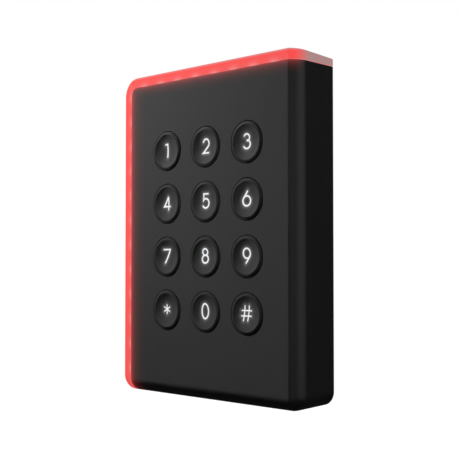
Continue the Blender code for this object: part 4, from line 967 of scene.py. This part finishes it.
def fold(shape, points, middle, width):
    """Folded strip: an outline in Y and Z, straight along X."""
    loft(shape, [[(x, y, z) for y, z in points] for x in (middle - width / 2, middle + width / 2)])


def draw_folds(shape):
    root = plate_front + SHEET / 2
    turn = BEND + SHEET
    hook = [(root, hook_foot + SHEET), *reversed(bend(lip + turn, hook_foot + turn, BEND, 180)),
            (lip + SHEET, lip_top), (lip, lip_top), *bend(lip + turn, hook_foot + turn, turn, 180),
            (root, hook_foot)]
    for x in (-HOOK_X, HOOK_X):
        fold(shape, hook, x, HOOK_WIDTH)
    fold(shape, [(lip, foot), (root, foot), (root, foot + SHEET), (lip, foot + SHEET)], 0.0, TAB_WIDTH)


def draw_openings(shape):
    near, far = plate_front - FIT, wall + FIT
    x, z = centre("cable_grommet")
    slab(shape, around(x, z, WINDOW_WIDTH / 2, WINDOW_HEIGHT / 2), WINDOW_CORNER, near, far)
    for side in (-1, 1):
        slot = around(side * WALL_SCREW_SPACING / 2, SLOT_Z, SLOT_WIDTH / 2, SLOT_HEIGHT / 2)
        slab(shape, slot, SLOT_CORNER, near, far)
        x = side * HOOK_X
        lance = (x - HOOK_WIDTH / 2, x + HOOK_WIDTH / 2, hook_foot + SHEET, lip_top + plate_front - lip)
        slab(shape, lance, LANCE_CORNER, near, far, 4)


def draw_tab_hole(shape):
    rod(shape, (0.0, 0.0), SCREW_HOLE_RADIUS, -PAST, PAST, 32)
    set_upright(shape, foot)


plate = body_of("wall_plate", lambda shape: slab(
    shape, grown("mounting_plate", 0.0), PLATE_CORNER, plate_front, wall))
work(plate, "UNION", draw_folds)
work(plate, "DIFFERENCE", draw_openings)
work(plate, "DIFFERENCE", draw_tab_hole)
fit(plate, galvanised, "housing", "plate_steel", "mounting_plate")

# Stage
# A pale floor that keeps the shadow, a white surround and soft studio lamps: a key lamp high on the left,
# one for the back, and two on the right that show only as gloss on the crease and the round of the side.
FLOOR_SIZE, FLOOR_Z = 6.0, -0.16
SHADE_START, SHADE_END, SHADE_LEVEL = 0.2, 0.36, 0.7
AMBIENT = 0.05
GLOSS_TARGET = (0.043, -0.017, 0.0)
PHOTO_PIXELS, FOCAL_PIXELS, SENSOR_WIDTH = 458, 959.74, 36.0


def surround_seen(tree):
    """1 for a ray that shows the surround: straight to the camera, mirrored or through clear material."""
    ray = add(tree, "LightPath").node.outputs
    seen = add(tree, "Math", (ray["Is Camera Ray"], ray["Is Glossy Ray"]), operation="MAXIMUM")
    return add(tree, "Math", (seen, ray["Is Transmission Ray"]), operation="MAXIMUM")


# Matte paper: glows white to the eye, with painted shade that makes it a little greyer near the object,
# and throws back little lamp light.
floor = body_of("floor", lambda shape: bmesh.ops.create_grid(
    shape, x_segments=1, y_segments=1, size=FLOOR_SIZE, matrix=Matrix.Translation((0, 0, FLOOR_Z))))
paper = bpy.data.materials.new("white_paper")
paper.use_nodes = True
tree = paper.node_tree
shader = tree.nodes["Principled BSDF"]
for socket, value in (("Base Color", linear("#444444")), ("Roughness", 0.9), ("Specular IOR Level", 0.0),
                      ("Emission Color", linear("#ffffff"))):
    shader.inputs[socket].default_value = value
ground = add(tree, "TexCoord", output="Object")
away = add(tree, "VectorMath", (ground, (1.0, 1.0, 0.0)), operation="MULTIPLY")
away = add(tree, "VectorMath", (away,), "Value", operation="LENGTH")
# Painted shade: less glow near the object.
level = add(tree, "MapRange", {"Value": away, "From Min": SHADE_START, "From Max": SHADE_END,
                               "To Min": SHADE_LEVEL})
glow = add(tree, "Math", (surround_seen(tree), level), operation="MULTIPLY")
tree.links.new(glow, shader.inputs["Emission Strength"])
floor.data.materials.append(paper)

world = bpy.data.worlds.new("white_surround")
bpy.context.scene.world = world
world.use_nodes = True
tree = world.node_tree
level = add(tree, "MapRange", {"Value": surround_seen(tree), "To Min": AMBIENT, "To Max": 1.0})
tree.nodes["Background"].inputs["Color"].default_value = linear("#ffffff")
tree.links.new(level, tree.nodes["Background"].inputs["Strength"])


def lamp(name, place, target, size, watts):
    """Square soft lamp that points at a place."""
    light = bpy.data.lights.new(name, "AREA")
    light.size = size
    light.energy = watts
    made = bpy.data.objects.new(name, light)
    made.location = place
    made.rotation_euler = (Vector(target) - Vector(place)).to_track_quat("-Z", "Y").to_euler()
    made.visible_camera = False
    bpy.context.collection.objects.link(made)
    return made


key = lamp("key_lamp", (-0.264, -0.140, 0.224), (0.007, -0.02, 0.015), 0.06, 0.532)
key.data.spread = math.radians(70.0)
lamp("back_lamp", (-0.25, 0.6, 0.35), (0.0, 0.0, 0.0), 0.4, 4.0)
for name, place, size, watts in (("rim_lamp", (0.53, 0.042, 0.09), 0.5, 23.5),
                                 ("front_gloss_lamp", (0.30, -0.50, 0.06), 0.6, 24.0)):
    lamp(name, place, GLOSS_TARGET, size, watts).visible_diffuse = False

# The photograph's view: from the right, slightly below the middle of the keypad
camera = bpy.data.cameras.new("camera")
camera.sensor_width = SENSOR_WIDTH
camera.lens = FOCAL_PIXELS / PHOTO_PIXELS * SENSOR_WIDTH
view = bpy.data.objects.new("camera", camera)
view.location = (0.24355, -0.25787, -0.01013)
yaw, pitch = math.radians(44.170), math.radians(1.874)
view.rotation_euler = (math.pi / 2 + pitch, 0.0, yaw)
bpy.context.collection.objects.link(view)
bpy.context.scene.camera = view
bpy.context.scene.view_settings.view_transform = "Standard"
